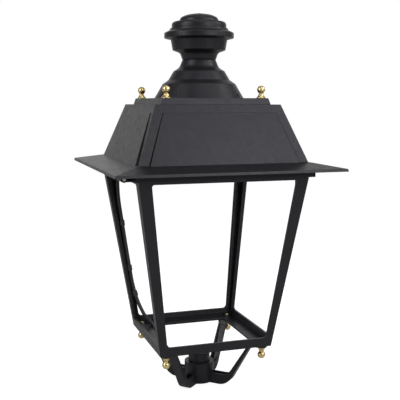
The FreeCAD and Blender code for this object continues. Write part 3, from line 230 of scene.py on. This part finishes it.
# %% Node group: moulded skin
moulded_skin, enter, leave = start_group("moulded skin", [
    ("Vector", "Vector", None), ("Tone", "Color", (0.02, 0.02, 0.02, 1)),
    ("Bloom", "Color", (0.04, 0.04, 0.04, 1)), ("Grain", "Float", 1200.0),
    ("Gloss", "Float", 0.45), ("Dull", "Float", 0.65)],
    [("Color", "Color"), ("Roughness", "Float"), ("Height", "Float")])
where = enter.outputs["Vector"]
clouds = noise(moulded_skin, where, 30.0, 3.0)
grain = noise(moulded_skin, where, enter.outputs["Grain"], 1.0)
tone = blend(moulded_skin, spread(moulded_skin, clouds, 0.4, 0.8, 0.0, 1.0),
             enter.outputs["Tone"], enter.outputs["Bloom"])
moulded_skin.links.new(tone, leave.inputs["Color"])
shine = spread(moulded_skin, clouds, 0.3, 0.7, enter.outputs["Gloss"], enter.outputs["Dull"])
moulded_skin.links.new(shine, leave.inputs["Roughness"])
moulded_skin.links.new(grain, leave.inputs["Height"])
print("group", moulded_skin.name, "has", len(moulded_skin.nodes), "nodes")


# %% Helper: give a material its group, bump and rounded edges
def finish_surface(tree, principled, group, relief, edge=0.0):
    """Link a group's colour, roughness and height to the shader.

    relief is the height of the bump in metres, and edge the radius in metres to which
    the sharp edges of the solids look rounded.
    """
    for name, socket in (("Color", "Base Color"), ("Roughness", "Roughness")):
        tree.links.new(group.outputs[name], principled.inputs[socket])
    links = {"Height": group.outputs["Height"], "Distance": relief, "Strength": 1.0}
    if edge:
        links["Normal"] = add(tree, "Bevel", {"Radius": edge}, samples=6).outputs[0]
    bump = add(tree, "Bump", links)
    tree.links.new(bump.outputs[0], principled.inputs["Normal"])


# %% [markdown]
# ## Black castings
# Every casting has the same coat. Sand-cast edges are never knife sharp: the pattern
# has small fillets, and the coat rounds them a little more. Rounding each edge in the
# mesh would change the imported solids, so a Bevel node bends only the normals near an
# edge, and the soft bright line along each arris comes from that.

# %% Material: black castings
black_casting, tree, principled, place = start_material(
    "black powder coat", Metallic=0.0, Specular_IOR_Level=0.36, IOR=1.5,
    Specular_Tint=(0.93, 0.92, 1.0, 1))
coat = use_group(tree, powder_coat, {"Vector": place})
finish_surface(tree, principled, coat, relief=0.00016, edge=0.0008)
print("made", black_casting.name)

# %% [markdown]
# ## Polished brass
# Balls, necks and flanges are turned in one piece and lacquered. The lines of the lathe
# run round the piece's own axis, which stands upright, so the grain is noise squeezed
# along Z and left wide across.

# %% Material: polished brass
polished_brass, tree, principled, place = start_material(
    "polished brass", Metallic=1.0, Coat_Weight=0.35, Coat_Roughness=0.06)
grain = add(tree, "Mapping", {"Vector": place, "Scale": (25.0, 25.0, 2600.0)}).outputs[0]
metal = use_group(tree, worked_metal, {
    "Vector": place, "Grain": grain, "Clean": (0.80, 0.63, 0.30, 1),
    "Tarnish": (0.60, 0.45, 0.19, 1), "Gloss": 0.20, "Dull": 0.34})
finish_surface(tree, principled, metal, relief=0.00003)
print("made", polished_brass.name)

# %% [markdown]
# ## Steel and aluminium
# Screws, pins and nuts are plain stainless steel; the tray and the heat sink are bare
# aluminium with the grain of the rolled sheet along X.

# %% Materials: stainless steel and bare aluminium
stainless_steel, tree, principled, place = start_material("stainless steel", Metallic=1.0)
grain = add(tree, "Mapping", {"Vector": place, "Scale": (400.0, 400.0, 1800.0)}).outputs[0]
metal = use_group(tree, worked_metal, {
    "Vector": place, "Grain": grain, "Clean": (0.66, 0.66, 0.66, 1),
    "Tarnish": (0.50, 0.50, 0.51, 1), "Gloss": 0.16, "Dull": 0.32})
finish_surface(tree, principled, metal, relief=0.00003, edge=0.0004)

bare_aluminium, tree, principled, place = start_material("bare aluminium", Metallic=1.0)
grain = add(tree, "Mapping", {"Vector": place, "Scale": (30.0, 1900.0, 1900.0)}).outputs[0]
metal = use_group(tree, worked_metal, {
    "Vector": place, "Grain": grain, "Clean": (0.78, 0.79, 0.80, 1),
    "Tarnish": (0.66, 0.67, 0.69, 1), "Gloss": 0.30, "Dull": 0.48})
finish_surface(tree, principled, metal, relief=0.00004, edge=0.0004)
print("made", stainless_steel.name, "and", bare_aluminium.name)

# %% [markdown]
# ## Rubber, sheath and plastic
# These four share the moulded skin and differ in tone and gloss: the seals are the
# dullest, the sheath has a slight bloom, the clips are plain black nylon and the
# housings of the electrical gear are light grey.


# %% Materials: moulded pieces
def moulded(name, tone, bloom, grain, gloss, dull):
    """A material of moulded skin in the given tone and gloss."""
    material, tree, principled, place = start_material(name, Metallic=0.0, IOR=1.5)
    group = use_group(tree, moulded_skin, {
        "Vector": place, "Tone": (*tone, 1), "Bloom": (*bloom, 1), "Grain": grain,
        "Gloss": gloss, "Dull": dull})
    finish_surface(tree, principled, group, relief=0.00005, edge=0.0005)
    return material


seal_rubber = moulded("seal rubber", (0.016, 0.016, 0.016), (0.030, 0.030, 0.031),
                      1400.0, 0.62, 0.78)
cable_sheath = moulded("cable sheath", (0.010, 0.010, 0.011), (0.020, 0.020, 0.021),
                       1800.0, 0.36, 0.50)
black_plastic = moulded("black nylon", (0.014, 0.014, 0.015), (0.026, 0.026, 0.028),
                        1000.0, 0.42, 0.58)
gear_housing = moulded("gear housing", (0.70, 0.70, 0.68), (0.76, 0.76, 0.74),
                       1600.0, 0.40, 0.55)
print("made", [m.name for m in (seal_rubber, cable_sheath, black_plastic, gear_housing)])

# %% [markdown]
# ## Light unit
# The board is white solder mask with a yellow chip under each lens. The chips sit on
# two circles, so the pattern is worked out in polar steps: the angle round the axis is
# folded into one wedge, and the distance to the wedge's chip gives a round mask. The
# lens plate is clear acrylic and the cover is toughened glass.


# %% Material: circuit board
def ring_of_spots(tree, place, radius, count, size):
    """1 within size of any of count points spaced evenly on a circle, else 0."""
    split = add(tree, "SeparateXYZ", {"Vector": place})
    x, y = split.outputs[0], split.outputs[1]
    angle = calc(tree, "ARCTAN2", y, x)
    wedge = 2 * math.pi / count
    folded = calc(tree, "WRAP", angle, wedge / 2, -wedge / 2)
    reach = add(tree, "VectorMath", {0: add(tree, "CombineXYZ", {"X": x, "Y": y}).outputs[0]},
                operation="LENGTH").outputs["Value"]
    along = calc(tree, "SUBTRACT", reach, radius)
    across = calc(tree, "MULTIPLY", folded, reach)
    far = calc(tree, "SQRT", calc(tree, "ADD", calc(tree, "MULTIPLY", along, along),
                                  calc(tree, "MULTIPLY", across, across)))
    return calc(tree, "LESS_THAN", far, size)


circuit_board, tree, principled, place = start_material("circuit board", Metallic=0.0)
board = use_group(tree, moulded_skin, {
    "Vector": place, "Tone": (0.80, 0.80, 0.78, 1), "Bloom": (0.86, 0.86, 0.85, 1),
    "Grain": 2000.0, "Gloss": 0.30, "Dull": 0.42})
CHIP_SIZE = 0.0022
CHIP_YELLOW = (0.85, 0.62, 0.10, 1)
chips = calc(tree, "MAXIMUM", ring_of_spots(tree, place, 0.048, 12, CHIP_SIZE),
             ring_of_spots(tree, place, 0.024, 6, CHIP_SIZE))
finish_surface(tree, principled, board, relief=0.00003)
tree.links.new(blend(tree, chips, board.outputs["Color"], CHIP_YELLOW),
               principled.inputs["Base Color"])
print("made", circuit_board.name)


# %% Materials: acrylic lenses and cover glass
def clear(name, colour, ior, gloss, dull):
    """A clear material whose faint haze comes from the moulded skin group."""
    material, tree, principled, place = start_material(
        name, Metallic=0.0, IOR=ior, Transmission_Weight=1.0)
    haze = use_group(tree, moulded_skin, {
        "Vector": place, "Tone": (*colour, 1), "Bloom": (*colour, 1), "Grain": 300.0,
        "Gloss": gloss, "Dull": dull})
    finish_surface(tree, principled, haze, relief=0.00001)
    return material


lens_plastic = clear("clear acrylic", (0.96, 0.97, 0.97), 1.49, 0.03, 0.08)
clear_glass = clear("clear glass", (0.93, 0.97, 0.96), 1.52, 0.01, 0.03)
print("made", lens_plastic.name, "and", clear_glass.name)

# %% [markdown]
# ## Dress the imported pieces
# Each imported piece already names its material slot, so one table from slot to finish
# dresses them all, and a slot without a finish stops the lesson at once.

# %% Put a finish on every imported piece
FINISHES = {
    "black_casting": black_casting, "polished_brass": polished_brass,
    "stainless_steel": stainless_steel, "bare_aluminium": bare_aluminium,
    "seal_rubber": seal_rubber, "cable_sheath": cable_sheath,
    "black_plastic": black_plastic, "circuit_board": circuit_board,
    "lens_plastic": lens_plastic, "clear_glass": clear_glass,
    "gear_housing": gear_housing,
}
slot_of = {part["node"]: part["material_slot"] for part in frame["record"]["subparts"]}
for name, piece in frame["nodes"].items():
    piece.material_slots[0].material = FINISHES[slot_of[name]]
print("dressed", len(slot_of), "pieces in", len(FINISHES), "finishes")

# %% [markdown]
# ## Surfaces worked out as grids
# Under the hood sit the parts that the solids only block out: driver, surge protector,
# terminals, leads and screws. They could be modelled by hand from boxes and loop cuts.
# Here each one is a formula instead: a section is worked out for every station along an
# axis, the points form a grid, and numpy turns the whole grid into faces at once.

# %% Helper: closed meshes from grids of sections
MM = 0.001


def skin(name, grids, finish, body="lantern"):
    """One piece from grids of shape (sections, points round, 3).

    Neighbouring points span quads, and each end is closed by a fan to the end's mean
    point. The signed volume, a sixth of the summed triple products of the faces, tells
    whether the faces look outwards; a negative one reverses them.
    """
    points, faces, start = [], [], 0
    for grid in grids:
        rows, columns = grid.shape[:2]
        flat = np.concatenate([grid.reshape(-1, 3), grid[:1].mean(axis=1),
                               grid[-1:].mean(axis=1)])
        row, column = np.meshgrid(np.arange(rows - 1), np.arange(columns), indexing="ij")
        here = (row * columns + column).ravel()
        beside = (row * columns + (column + 1) % columns).ravel()
        quads = np.stack([here, beside, beside + columns, here + columns], axis=1)
        ring = np.arange(columns)
        turned = (ring + 1) % columns
        last = (rows - 1) * columns
        first_fan = np.stack([turned, ring, np.full(columns, rows * columns)], axis=1)
        last_fan = np.stack([last + ring, last + turned,
                             np.full(columns, rows * columns + 1)], axis=1)
        corners = np.concatenate([quads[:, :3], quads[:, [0, 2, 3]], first_fan, last_fan])
        a, b, c = (flat[corners[:, k]] for k in range(3))
        if np.einsum("ij,ij->", a, np.cross(b, c)) < 0:
            quads, first_fan, last_fan = (f[:, ::-1] for f in (quads, first_fan, last_fan))
        faces += [*(quads + start).tolist(), *(first_fan + start).tolist(),
                  *(last_fan + start).tolist()]
        points.append(flat)
        start += len(flat)
    mesh = bpy.data.meshes.new(name)
    mesh.from_pydata(np.concatenate(points), [], faces)
    mesh.shade_smooth()
    mesh.set_sharp_from_angle(angle=math.radians(38))
    mesh.materials.append(finish)
    piece = bpy.data.objects.new(name, mesh)
    bpy.context.scene.collection.objects.link(piece)
    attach(piece, body)
    print("piece", name, "has", len(faces), "faces")
    return piece


def rounded_section(width, height, corner, steps=5):
    """Rectangles with round corners, one row for each width, height and corner.

    Each point is a corner's centre plus its radius times (cos, sin) of an angle that
    makes a quarter turn at every corner.
    """
    quarter = np.linspace(0, math.pi / 2, steps)
    angle = np.concatenate([quarter + turn * math.pi / 2 for turn in range(4)])
    across = np.repeat([1, -1, -1, 1], steps)
    upward = np.repeat([1, 1, -1, -1], steps)
    width, height, corner = np.broadcast_arrays(*(np.reshape(value, (-1, 1)) for value in
                                                  (width, height, corner)))
    u = across * (width / 2 - corner) + corner * np.cos(angle)
    v = upward * (height / 2 - corner) + corner * np.sin(angle)
    return u, v


def plate(low, high, corner, edge):
    """A flat block: a rounded rectangle at four levels, drawn in at top and bottom.

    The inset at an end level is the width of the edge, so a small chamfer runs round.
    """
    low, high = np.array(low), np.array(high)
    inset = np.array([edge, 0, 0, edge])
    level = np.array([low[2], low[2] + edge, high[2] - edge, high[2]])
    middle = (low + high) / 2
    u, v = rounded_section(high[0] - low[0] - 2 * inset, high[1] - low[1] - 2 * inset, corner)
    return np.stack([u + middle[0], v + middle[1], level[:, None] + 0 * u], axis=2)


# %% [markdown]
# ## Driver, surge protector and terminals
# The driver of a street light is a die-cast case with cooling ribs and a screw ear at
# each end. The ribs are a cosine along its length that swells the rounded section. The
# surge protector is a smooth moulded block, and the terminal strip is one profile
# carried along its row, pinched between the ways.

# %% Pieces: driver, surge protector and terminal strip
low, high = (np.array(corner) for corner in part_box("driver"))
EAR, RIB_PITCH, RIB_DEPTH = 12 * MM, 6.5 * MM, 1.1 * MM
PLAIN_END, RIB_START, END_RADIUS = 9 * MM, 2 * MM, 1.5 * MM
x = np.linspace(low[0] + EAR, high[0] - EAR, 161)
from_end = np.minimum(x - x[0], x[-1] - x)
ribbed = np.clip((from_end - PLAIN_END) / RIB_START, 0, 1)
swell = ribbed * RIB_DEPTH * (0.5 - 0.5 * np.cos(2 * math.pi * (x - x[0]) / RIB_PITCH))
in_arc = np.clip(END_RADIUS - from_end, 0, None)
rounding = END_RADIUS - np.sqrt(np.clip(END_RADIUS ** 2 - in_arc ** 2, 0, None))
shrink = 2 * (swell + rounding)
u, v = rounded_section(high[1] - low[1] - shrink, high[2] - low[2] - shrink, 4 * MM)
case = np.stack([x[:, None] + 0 * u, u + (low[1] + high[1]) / 2, v + (low[2] + high[2]) / 2],
                axis=2)
ears = [plate((start, low[1], low[2]), (start + EAR + MM, high[1], low[2] + 2.5 * MM),
              3 * MM, 0.4 * MM) for start in (low[0], high[0] - EAR - MM)]
driver_case = skin("driver_case", [case, *ears], gear_housing)
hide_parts("driver")

low, high = (np.array(corner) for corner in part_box("surge_protector"))
turn = np.linspace(0, math.pi / 2, 6)
level = np.concatenate([[0, 3, 3.4, 6, 6.4], 21 + 5 * np.sin(turn)]) * MM
inset = np.concatenate([[0, 0, 0.7, 0.7, 0], 5 * (1 - np.cos(turn))]) * MM
u, v = rounded_section(high[0] - low[0] - 2 * inset, high[1] - low[1] - 2 * inset,
                       np.maximum(5 * MM - inset * 0.5, 2 * MM))
surge = np.stack([u + (low[0] + high[0]) / 2, v + (low[1] + high[1]) / 2,
                  level[:, None] + low[2] + 0 * u], axis=2)
surge_case = skin("surge_case", [surge], gear_housing)
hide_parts("surge_protector")

low, high = (np.array(corner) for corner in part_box("terminal_block"))
WAYS = 5
way_pitch = (high[1] - low[1]) / WAYS
way_middles = low[1] + way_pitch * (np.arange(WAYS) + 0.5)
profile = np.array([(-9, 0), (9, 0), (9, 8.6), (8.6, 9), (6.4, 11.5), (6, 12.4), (6, 19.5),
                    (5.5, 20), (-5.5, 20), (-6, 19.5), (-6, 12.4), (-6.4, 11.5), (-8.6, 9),
                    (-9, 8.6)]) * MM
y = np.linspace(low[1], high[1], 121)
to_gap = np.abs((y - low[1] + way_pitch / 2) % way_pitch - way_pitch / 2)
pinch = 1 - 0.09 * np.exp(-(to_gap / (0.7 * MM)) ** 2)
strip = np.stack([profile[None, :, 0] * pinch[:, None] + (low[0] + high[0]) / 2,
                  y[:, None] + np.zeros(len(profile)),
                  profile[None, :, 1] * pinch[:, None] + low[2]], axis=2)
terminal_strip = skin("terminal_strip", [strip], gear_housing)
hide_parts("terminal_block")

# %% [markdown]
# ## Socket screws
# The tray, the heat sink, the driver and the glass frame are each held by small socket
# screws. A head is a turned profile, and the hexagon inside it has a closed formula: its
# radius at an angle is the apothem over the cosine of the angle from the nearest flat.


# %% Pieces: socket screws
def screw_head(at, radius, height, down=False):
    """A socket head: rings of points at falling radii, the inner two on a hexagon."""
    angle = np.linspace(0, 2 * math.pi, 36, endpoint=False)
    hexagon = 0.48 * radius / np.cos(angle % (math.pi / 3) - math.pi / 6)
    edge = 0.12 * radius
    rings = [(radius, 0), (radius, height - edge), (radius - 0.3 * edge, height - 0.3 * edge),
             (radius - edge, height), (hexagon, height), (hexagon, height * 0.45)]
    reach = np.stack([ring + 0 * angle for ring, level in rings])
    level = np.array([level for ring, level in rings])[:, None] * (-1 if down else 1)
    return np.stack([at[0] + reach * np.cos(angle), at[1] + reach * np.sin(angle),
                     at[2] + level + 0 * reach], axis=2)


def round_circle(radius, count, level, start=0.0):
    """Places spaced evenly on a circle at a level."""
    angle = start + np.arange(count) * 2 * math.pi / count
    return np.stack([radius * np.cos(angle), radius * np.sin(angle), level + 0 * angle], axis=1)


tray_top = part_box("heat_sink")[0][2]
sink_flange = tray_top + 4 * MM
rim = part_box("gear_tray")[1][0] - 4.2 * MM
from_middle = 62 * MM
tray_places = [(rim * a + side * from_middle * b, rim * b + side * from_middle * a, tray_top)
               for a, b in ((1, 0), (-1, 0), (0, 1), (0, -1)) for side in (-1, 1)]
skin("tray_screws", [screw_head(at, 3.8 * MM, 3 * MM) for at in tray_places],
     stainless_steel)
skin("sink_screws", [screw_head(at, 3.0 * MM, 2.6 * MM) for at in
                     round_circle(78 * MM, 6, sink_flange, 0.3)],
     stainless_steel)
driver_low, driver_high = (np.array(corner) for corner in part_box("driver"))
ear_places = [(x_ear, y_ear, tray_top + 2.5 * MM)
              for x_ear in (driver_low[0] + 6 * MM, driver_high[0] - 6 * MM)
              for y_ear in (driver_low[1] + 7 * MM, driver_high[1] - 7 * MM)]
skin("driver_screws", [screw_head(at, 2.8 * MM, 2.4 * MM) for at in ear_places],
     stainless_steel)
glass_frame_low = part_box("glass_frame")[0]
skin("glass_frame_screws", [screw_head(at, 2.4 * MM, 1.6 * MM, down=True) for at in
                            round_circle(88.9 * MM, 8, glass_frame_low[2], 0.4)],
     stainless_steel)
skin("terminal_screws", [screw_head(((low[0] + high[0]) / 2, middle, high[2] - 0.2 * MM),
                                    2.6 * MM, 1.2 * MM) for middle in way_middles],
     polished_brass)

# %% [markdown]
# ## Leads
# The supply cable ends above its gland, where a shrunk sleeve grips three leads. They
# lie on the tray to the terminal strip, and two more run on to the driver, the surge
# protector and the light unit. A curve with a round bevel makes a lead from a few stops,
# and because the curve is a spline of order three, every turn is soft.

# %% Finishes and helper for the leads
LEAD_TONES = {
    "brown": ((0.10, 0.035, 0.014), (0.14, 0.052, 0.024)),
    "blue": ((0.012, 0.06, 0.24), (0.02, 0.09, 0.31)),
    "green": ((0.03, 0.17, 0.04), (0.05, 0.23, 0.06)),
    "red": ((0.32, 0.02, 0.015), (0.40, 0.035, 0.025)),
    "black": ((0.012, 0.012, 0.013), (0.02, 0.02, 0.022)),
}
lead_finish = {colour: moulded(colour + " lead", tone, bloom, 1500.0, 0.34, 0.46)
               for colour, (tone, bloom) in LEAD_TONES.items()}
LEAD_RADIUS = 1.5 * MM
ON_TRAY = tray_top + LEAD_RADIUS


def lead(name, colour, *stops):
    """A lead through its stops, in millimetres from the axis and above the tray."""
    curve = bpy.data.curves.new(name, "CURVE")
    curve.dimensions = "3D"
    spline = curve.splines.new("NURBS")
    spline.points.add(len(stops) - 1)
    for point, (x_stop, y_stop, rise) in zip(spline.points, stops):
        point.co = (x_stop * MM, y_stop * MM, ON_TRAY + rise * MM, 1)
    spline.order_u = 3
    spline.use_endpoint_u = True
    spline.resolution_u = 8
    curve.bevel_depth = LEAD_RADIUS
    curve.bevel_resolution = 3
    curve.use_fill_caps = True
    curve.materials.append(lead_finish[colour])
    piece = bpy.data.objects.new(name, curve)
    bpy.context.scene.collection.objects.link(piece)
    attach(piece, "lantern")
    print("lead", name, "has", len(stops), "stops")
    return piece


# %% Pieces: leads from the gland to the light unit
# Each row names a lead, its colour and the places in millimetres that set it apart.
for name, colour, shift, lane, way in (("lead_line", "brown", 1.6, -139.0, 18.4),
                                       ("lead_neutral", "blue", 0.0, -142.4, 9.2),
                                       ("lead_earth", "green", -1.6, -145.8, 0.0)):
    lead(name, colour, (-141.8 + shift, 141.8 + shift, 18), (-141.8 + shift, 141.8 + shift, 28),
         (lane, 136, 36), (lane, 124, 30), (lane, 112, 6), (lane, 104, 0), (lane, 60, 0),
         (lane, 30 + way * 0.5, 0), (lane + 2, way, 1), (-132, way, 3.5), (-124, way, 4.5))
for name, colour, side, way, entry in (("lead_driver_line", "brown", 0.0, 18.4, 106.0),
                                       ("lead_driver_neutral", "blue", 4.2, 9.2, 101.5)):
    lead(name, colour, (-110, way, 4.5), (-104, way, 2.5), (-99 + side, way + 2, 0),
         (-96 + side, 32, 0), (-93 + side, 60, 0), (-91 + side, entry - 10, 0),
         (-86 + side, entry, 2), (-76, entry, 9), (-60, entry, 12))
for name, colour, side, entry in (("lead_surge_line", "red", 0.0, 106.0),
                                  ("lead_surge_return", "black", -4.2, 101.5)):
    lead(name, colour, (60, entry, 12), (76, entry, 9), (90 + side, entry, 1),
         (101 + side, entry - 8, 0), (108 + side, 74, 0), (110 + side, 40, 0),
         (110 + side, 24, 2), (110 + side, 17, 4))
for name, colour, side in (("lead_light_plus", "red", 0.0),
                           ("lead_light_minus", "black", 3.6)):
    lead(name, colour, (60, 95 - side, 6), (74, 95 - side, 6), (82 - side, 90 - side, 1),
         (86 - side, 66, 0), (80 - side, 40, 3.4), (66 - side, 22, 4.2),
         (58 - side, 8, 4.2), (54, 2 - side, 4.6), (54, 2 - side, 0.5))

# %% [markdown]
# ## Sleeve, grommet and saddles
# A shrunk sleeve closes the end of the sheath, a small grommet lines the hole where the
# leads pass through the heat sink, and flat saddles pin the leads to the tray. Sleeve
# and grommet are turned profiles; a saddle is a flat strip whose section follows half a
# ring over the leads.


# %% Pieces: sleeve, grommet and saddles
def turned(centre, profile, count=32):
    """A profile of (radius, height) pairs, turned about a vertical axis at the centre."""
    profile = np.array(profile) * MM
    angle = np.linspace(0, 2 * math.pi, count, endpoint=False)
    return np.stack([centre[0] + profile[:, :1] * np.cos(angle),
                     centre[1] + profile[:, :1] * np.sin(angle),
                     centre[2] + profile[:, 1:] + 0 * angle], axis=2)


cable_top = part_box("supply_cable")[1][2]
skin("sheath_sleeve", [turned((-141.8 * MM, 141.8 * MM, cable_top), [
    (4.1, -6), (4.6, -5.6), (4.6, -1), (4.4, 0.6), (3.6, 3), (3.3, 4.5), (3.0, 5), (0.5, 5)])],
     seal_rubber)
skin("light_grommet", [turned((54 * MM, 0.2 * MM, sink_flange), [
    (6.4, 0), (6.4, 1.2), (5.9, 2), (5.0, 2.3), (4.4, 1.8), (4.2, 0.9), (1.0, 0.9)])],
     seal_rubber)


SADDLE_THICKNESS, SADDLE_FOOT = 0.8 * MM, 5 * MM


def saddle(centre, span, rise, width):
    """A strip over the leads: a thin section carried along half an ellipse.

    Its middle line is (span cos t, rise sin t) for t from 0 to a half turn, in the plane
    of X and Z, and the two feet run straight out. The section is as wide as the strip.
    """
    turn = np.linspace(0, math.pi, 17)
    line = np.stack([span * np.cos(turn), rise * np.sin(turn)], axis=1)
    line = np.concatenate([
        [(span + SADDLE_FOOT, 0)], [(span + SADDLE_THICKNESS, 0)], line,
        [(-span - SADDLE_THICKNESS, 0)], [(-span - SADDLE_FOOT, 0)]])
    heading = np.gradient(line, axis=0)
    heading /= np.linalg.norm(heading, axis=1, keepdims=True)
    out = np.stack([heading[:, 1], -heading[:, 0]], axis=1)
    out[:2], out[-2:] = (0, 1), (0, 1)
    corners = np.array([(-1, 0), (1, 0), (1, 1), (-1, 1)])
    flat = line[:, None, :] + out[:, None, :] * (corners[None, :, 1:] * SADDLE_THICKNESS)
    sideways = np.broadcast_to(corners[None, :, 0] * width / 2, flat.shape[:2])
    return np.array(centre) + np.stack([flat[..., 0], sideways, flat[..., 1]], axis=2)


saddle_places = [(-142.4, 80, 6.2), (-92.0, 50, 4.2), (106.6, 58, 4.2)]
skin("lead_saddles", [saddle((x_at * MM, y_at * MM, tray_top), span * MM, 3.6 * MM, 7 * MM)
                      for x_at, y_at, span in saddle_places],
     black_plastic)

# %% [markdown]
# ## Painted shadow lines round the roof panels
# Each raised roof panel ends in a fine shadow line. A thin round bar in matt near-black
# lies along each sloping edge of a panel and paints that shadow line. It is painted
# shade, not a part of the real hood. Its place follows from the roof: the faces lean at
# one slope, so a sloping edge of the panel is a straight line between two levels, and a
# small round section is carried along it. Two bars are worked out for the front, and
# quarter turns about the axis give the other six.

# %% Piece: painted panel shadow lines
# This near-black matt finish is painted shade: it draws the shadow line at each panel's step.
painted_shade_finish, tree, principled, place = start_material(
    "painted shadow line", Metallic=0.0, Specular_IOR_Level=0.05)
matt = use_group(tree, moulded_skin, {
    "Vector": place, "Tone": (0.0035, 0.0035, 0.004, 1), "Bloom": (0.006, 0.006, 0.007, 1),
    "Grain": 1500.0, "Gloss": 0.85, "Dull": 0.95})
finish_surface(tree, principled, matt, relief=0.00004)

# Each pair is a distance from the axis and a level, in millimetres.
ROOF_FOOT, ROOF_HEAD = (166.3, 474.5), (125.5, 583.7)
PANEL_FOOT, PANEL_HEAD = (147.5, 475.2), (112.28, 568.5)
SHADOW_BAR_RADIUS = 0.9


def roof_out(level):
    """How far the roof's face stands from the axis at a level, by straight proportion."""
    share = (level - ROOF_FOOT[1]) / (ROOF_HEAD[1] - ROOF_FOOT[1])
    return ROOF_FOOT[0] + share * (ROOF_HEAD[0] - ROOF_FOOT[0])


def shadow_bar(start, end):
    """A round bar between two points: a circle in the plane square to its run."""
    start, end = np.array(start) * MM, np.array(end) * MM
    run = (end - start) / np.linalg.norm(end - start)
    side = np.cross(run, (0.0, 1.0, 0.2))
    side /= np.linalg.norm(side)
    angle = np.linspace(0, 2 * math.pi, 10, endpoint=False)[:, None]
    ring = SHADOW_BAR_RADIUS * MM * (side * np.cos(angle) + np.cross(run, side) * np.sin(angle))
    return np.stack([start + ring, end + ring])


corners = [(PANEL_HEAD[0], -roof_out(PANEL_HEAD[1]), PANEL_HEAD[1]),
           (PANEL_FOOT[0], -roof_out(PANEL_FOOT[1]), PANEL_FOOT[1])]
mirrored = [(-x_at, y_at, z_at) for x_at, y_at, z_at in corners]
front_shadow_bars = np.stack([shadow_bar(*corners), shadow_bar(*mirrored)])
quarter_turn = np.array(((0, -1, 0), (1, 0, 0), (0, 0, 1)))
shadow_bars = []
for turns in range(4):
    shadow_bars += list(front_shadow_bars @ np.linalg.matrix_power(quarter_turn, turns).T)
# The bars are painted shadow lines along the panels' edges, carried by the hood.
skin("painted_panel_shadows", shadow_bars, painted_shade_finish, body="hood")

# %% [markdown]
# ## Light and floor
# The photograph is a cut-out on pure white under soft light. A black coat shows little
# colour of its own and mirrors what stands round it, so the room matters as much as the
# lamps. The camera and the glass see white all round. Reflections see the same white
# backdrop behind the lantern, which fades into a dim room in front of it. Five soft
# panels light the lantern, at a level at which a colour renders about as it is written.
# The floor glows white for the camera, keeps the lantern's shadow, and lets a view from
# below through.

# %% World, lamps and floor
world = bpy.data.worlds.new("studio")
bpy.context.scene.world = world
world.use_nodes = True
tree = world.node_tree
tree.nodes.clear()
AMBIENT = 0.35
ROOM = 0.20
BACKDROP_WAY = (0.31, 0.95, 0.0)
BACKDROP_ENDS, BACKDROP_FULL = 0.62, 0.98
rays = add(tree, "LightPath").outputs
facing = add(tree, "VectorMath", {0: add(tree, "TexCoord").outputs["Generated"],
                                  1: BACKDROP_WAY}, operation="DOT_PRODUCT").outputs["Value"]
backdrop = spread(tree, facing, BACKDROP_ENDS, BACKDROP_FULL, ROOM, 1.0)
strength = blend(tree, rays["Is Glossy Ray"], (AMBIENT, AMBIENT, AMBIENT, 1), backdrop)
shown = calc(tree, "MAXIMUM", rays["Is Camera Ray"], rays["Is Transmission Ray"])
strength = calc(tree, "MAXIMUM", strength, shown)
background = add(tree, "Background", {"Color": (1, 1, 1, 1), "Strength": strength})
add(tree, "OutputWorld", {"Surface": background.outputs[0]})


def soft_panel(name, at, aim, width, height, power):
    """An upright lamp of a width and height in metres and a power in watts."""
    lamp = bpy.data.lights.new(name, "AREA")
    lamp.shape = "RECTANGLE"
    lamp.size = width
    lamp.size_y = height
    lamp.energy = power
    piece = bpy.data.objects.new(name, lamp)
    bpy.context.scene.collection.objects.link(piece)
    piece.location = at
    piece.rotation_euler = (Vector(aim) - Vector(at)).to_track_quat("-Z", "Y").to_euler()
    return piece


soft_panel("key panel", (-2.3, -0.65, 1.7), (0, 0, 0.5), 1.2, 2.0, 34.0)
soft_panel("fill panel", (1.5, -2.25, 1.7), (0, 0, 0.55), 1.1, 1.9, 15.5)
soft_panel("near panel", (0.50, -1.7, 1.25), (0, 0, 0.6), 0.9, 1.0, 8.0)
soft_panel("side panel", (2.1, -0.8, 1.9), (0, 0, 0.5), 1.0, 1.6, 20.0)
soft_panel("top panel", (0.2, -0.7, 2.6), (0, 0, 0.5), 1.6, 1.6, 8.5)

FLOOR_HALF = 4.0
UNDER_HUB = 0.0005
floor_mesh = bpy.data.meshes.new("floor")
floor_mesh.from_pydata([(x_side * FLOOR_HALF, y_side * FLOOR_HALF, 0) for x_side, y_side in
                        ((-1, -1), (1, -1), (1, 1), (-1, 1))], [], [(0, 1, 2, 3)])
floor = bpy.data.objects.new("floor", floor_mesh)
bpy.context.scene.collection.objects.link(floor)
floor.location.z = cad_box[0][2] - UNDER_HUB

PAPER = (0.50, 0.50, 0.50, 1)
GLOW = 0.80
GLOW_IN_REFLECTIONS = 0.1
paper = bpy.data.materials.new("white paper")
paper.use_nodes = True
tree = paper.node_tree
tree.nodes.clear()
rays = add(tree, "LightPath").outputs
seen = calc(tree, "MAXIMUM", rays["Is Camera Ray"], rays["Is Transmission Ray"])
seen = calc(tree, "MULTIPLY_ADD", rays["Is Glossy Ray"], GLOW_IN_REFLECTIONS, seen)
matt = add(tree, "BsdfDiffuse", {"Color": PAPER})
glow = add(tree, "Emission", {"Color": (1, 1, 1, 1),
                              "Strength": calc(tree, "MULTIPLY", seen, GLOW)})
lit = add(tree, "AddShader", {0: matt.outputs[0], 1: glow.outputs[0]})
one_sided = add(tree, "MixShader", {0: add(tree, "NewGeometry").outputs["Backfacing"],
                                    1: lit.outputs[0],
                                    2: add(tree, "BsdfTransparent").outputs[0]})
add(tree, "OutputMaterial", {"Surface": one_sided.outputs[0]})
floor_mesh.materials.append(paper)
print("lamps, world and floor are set")
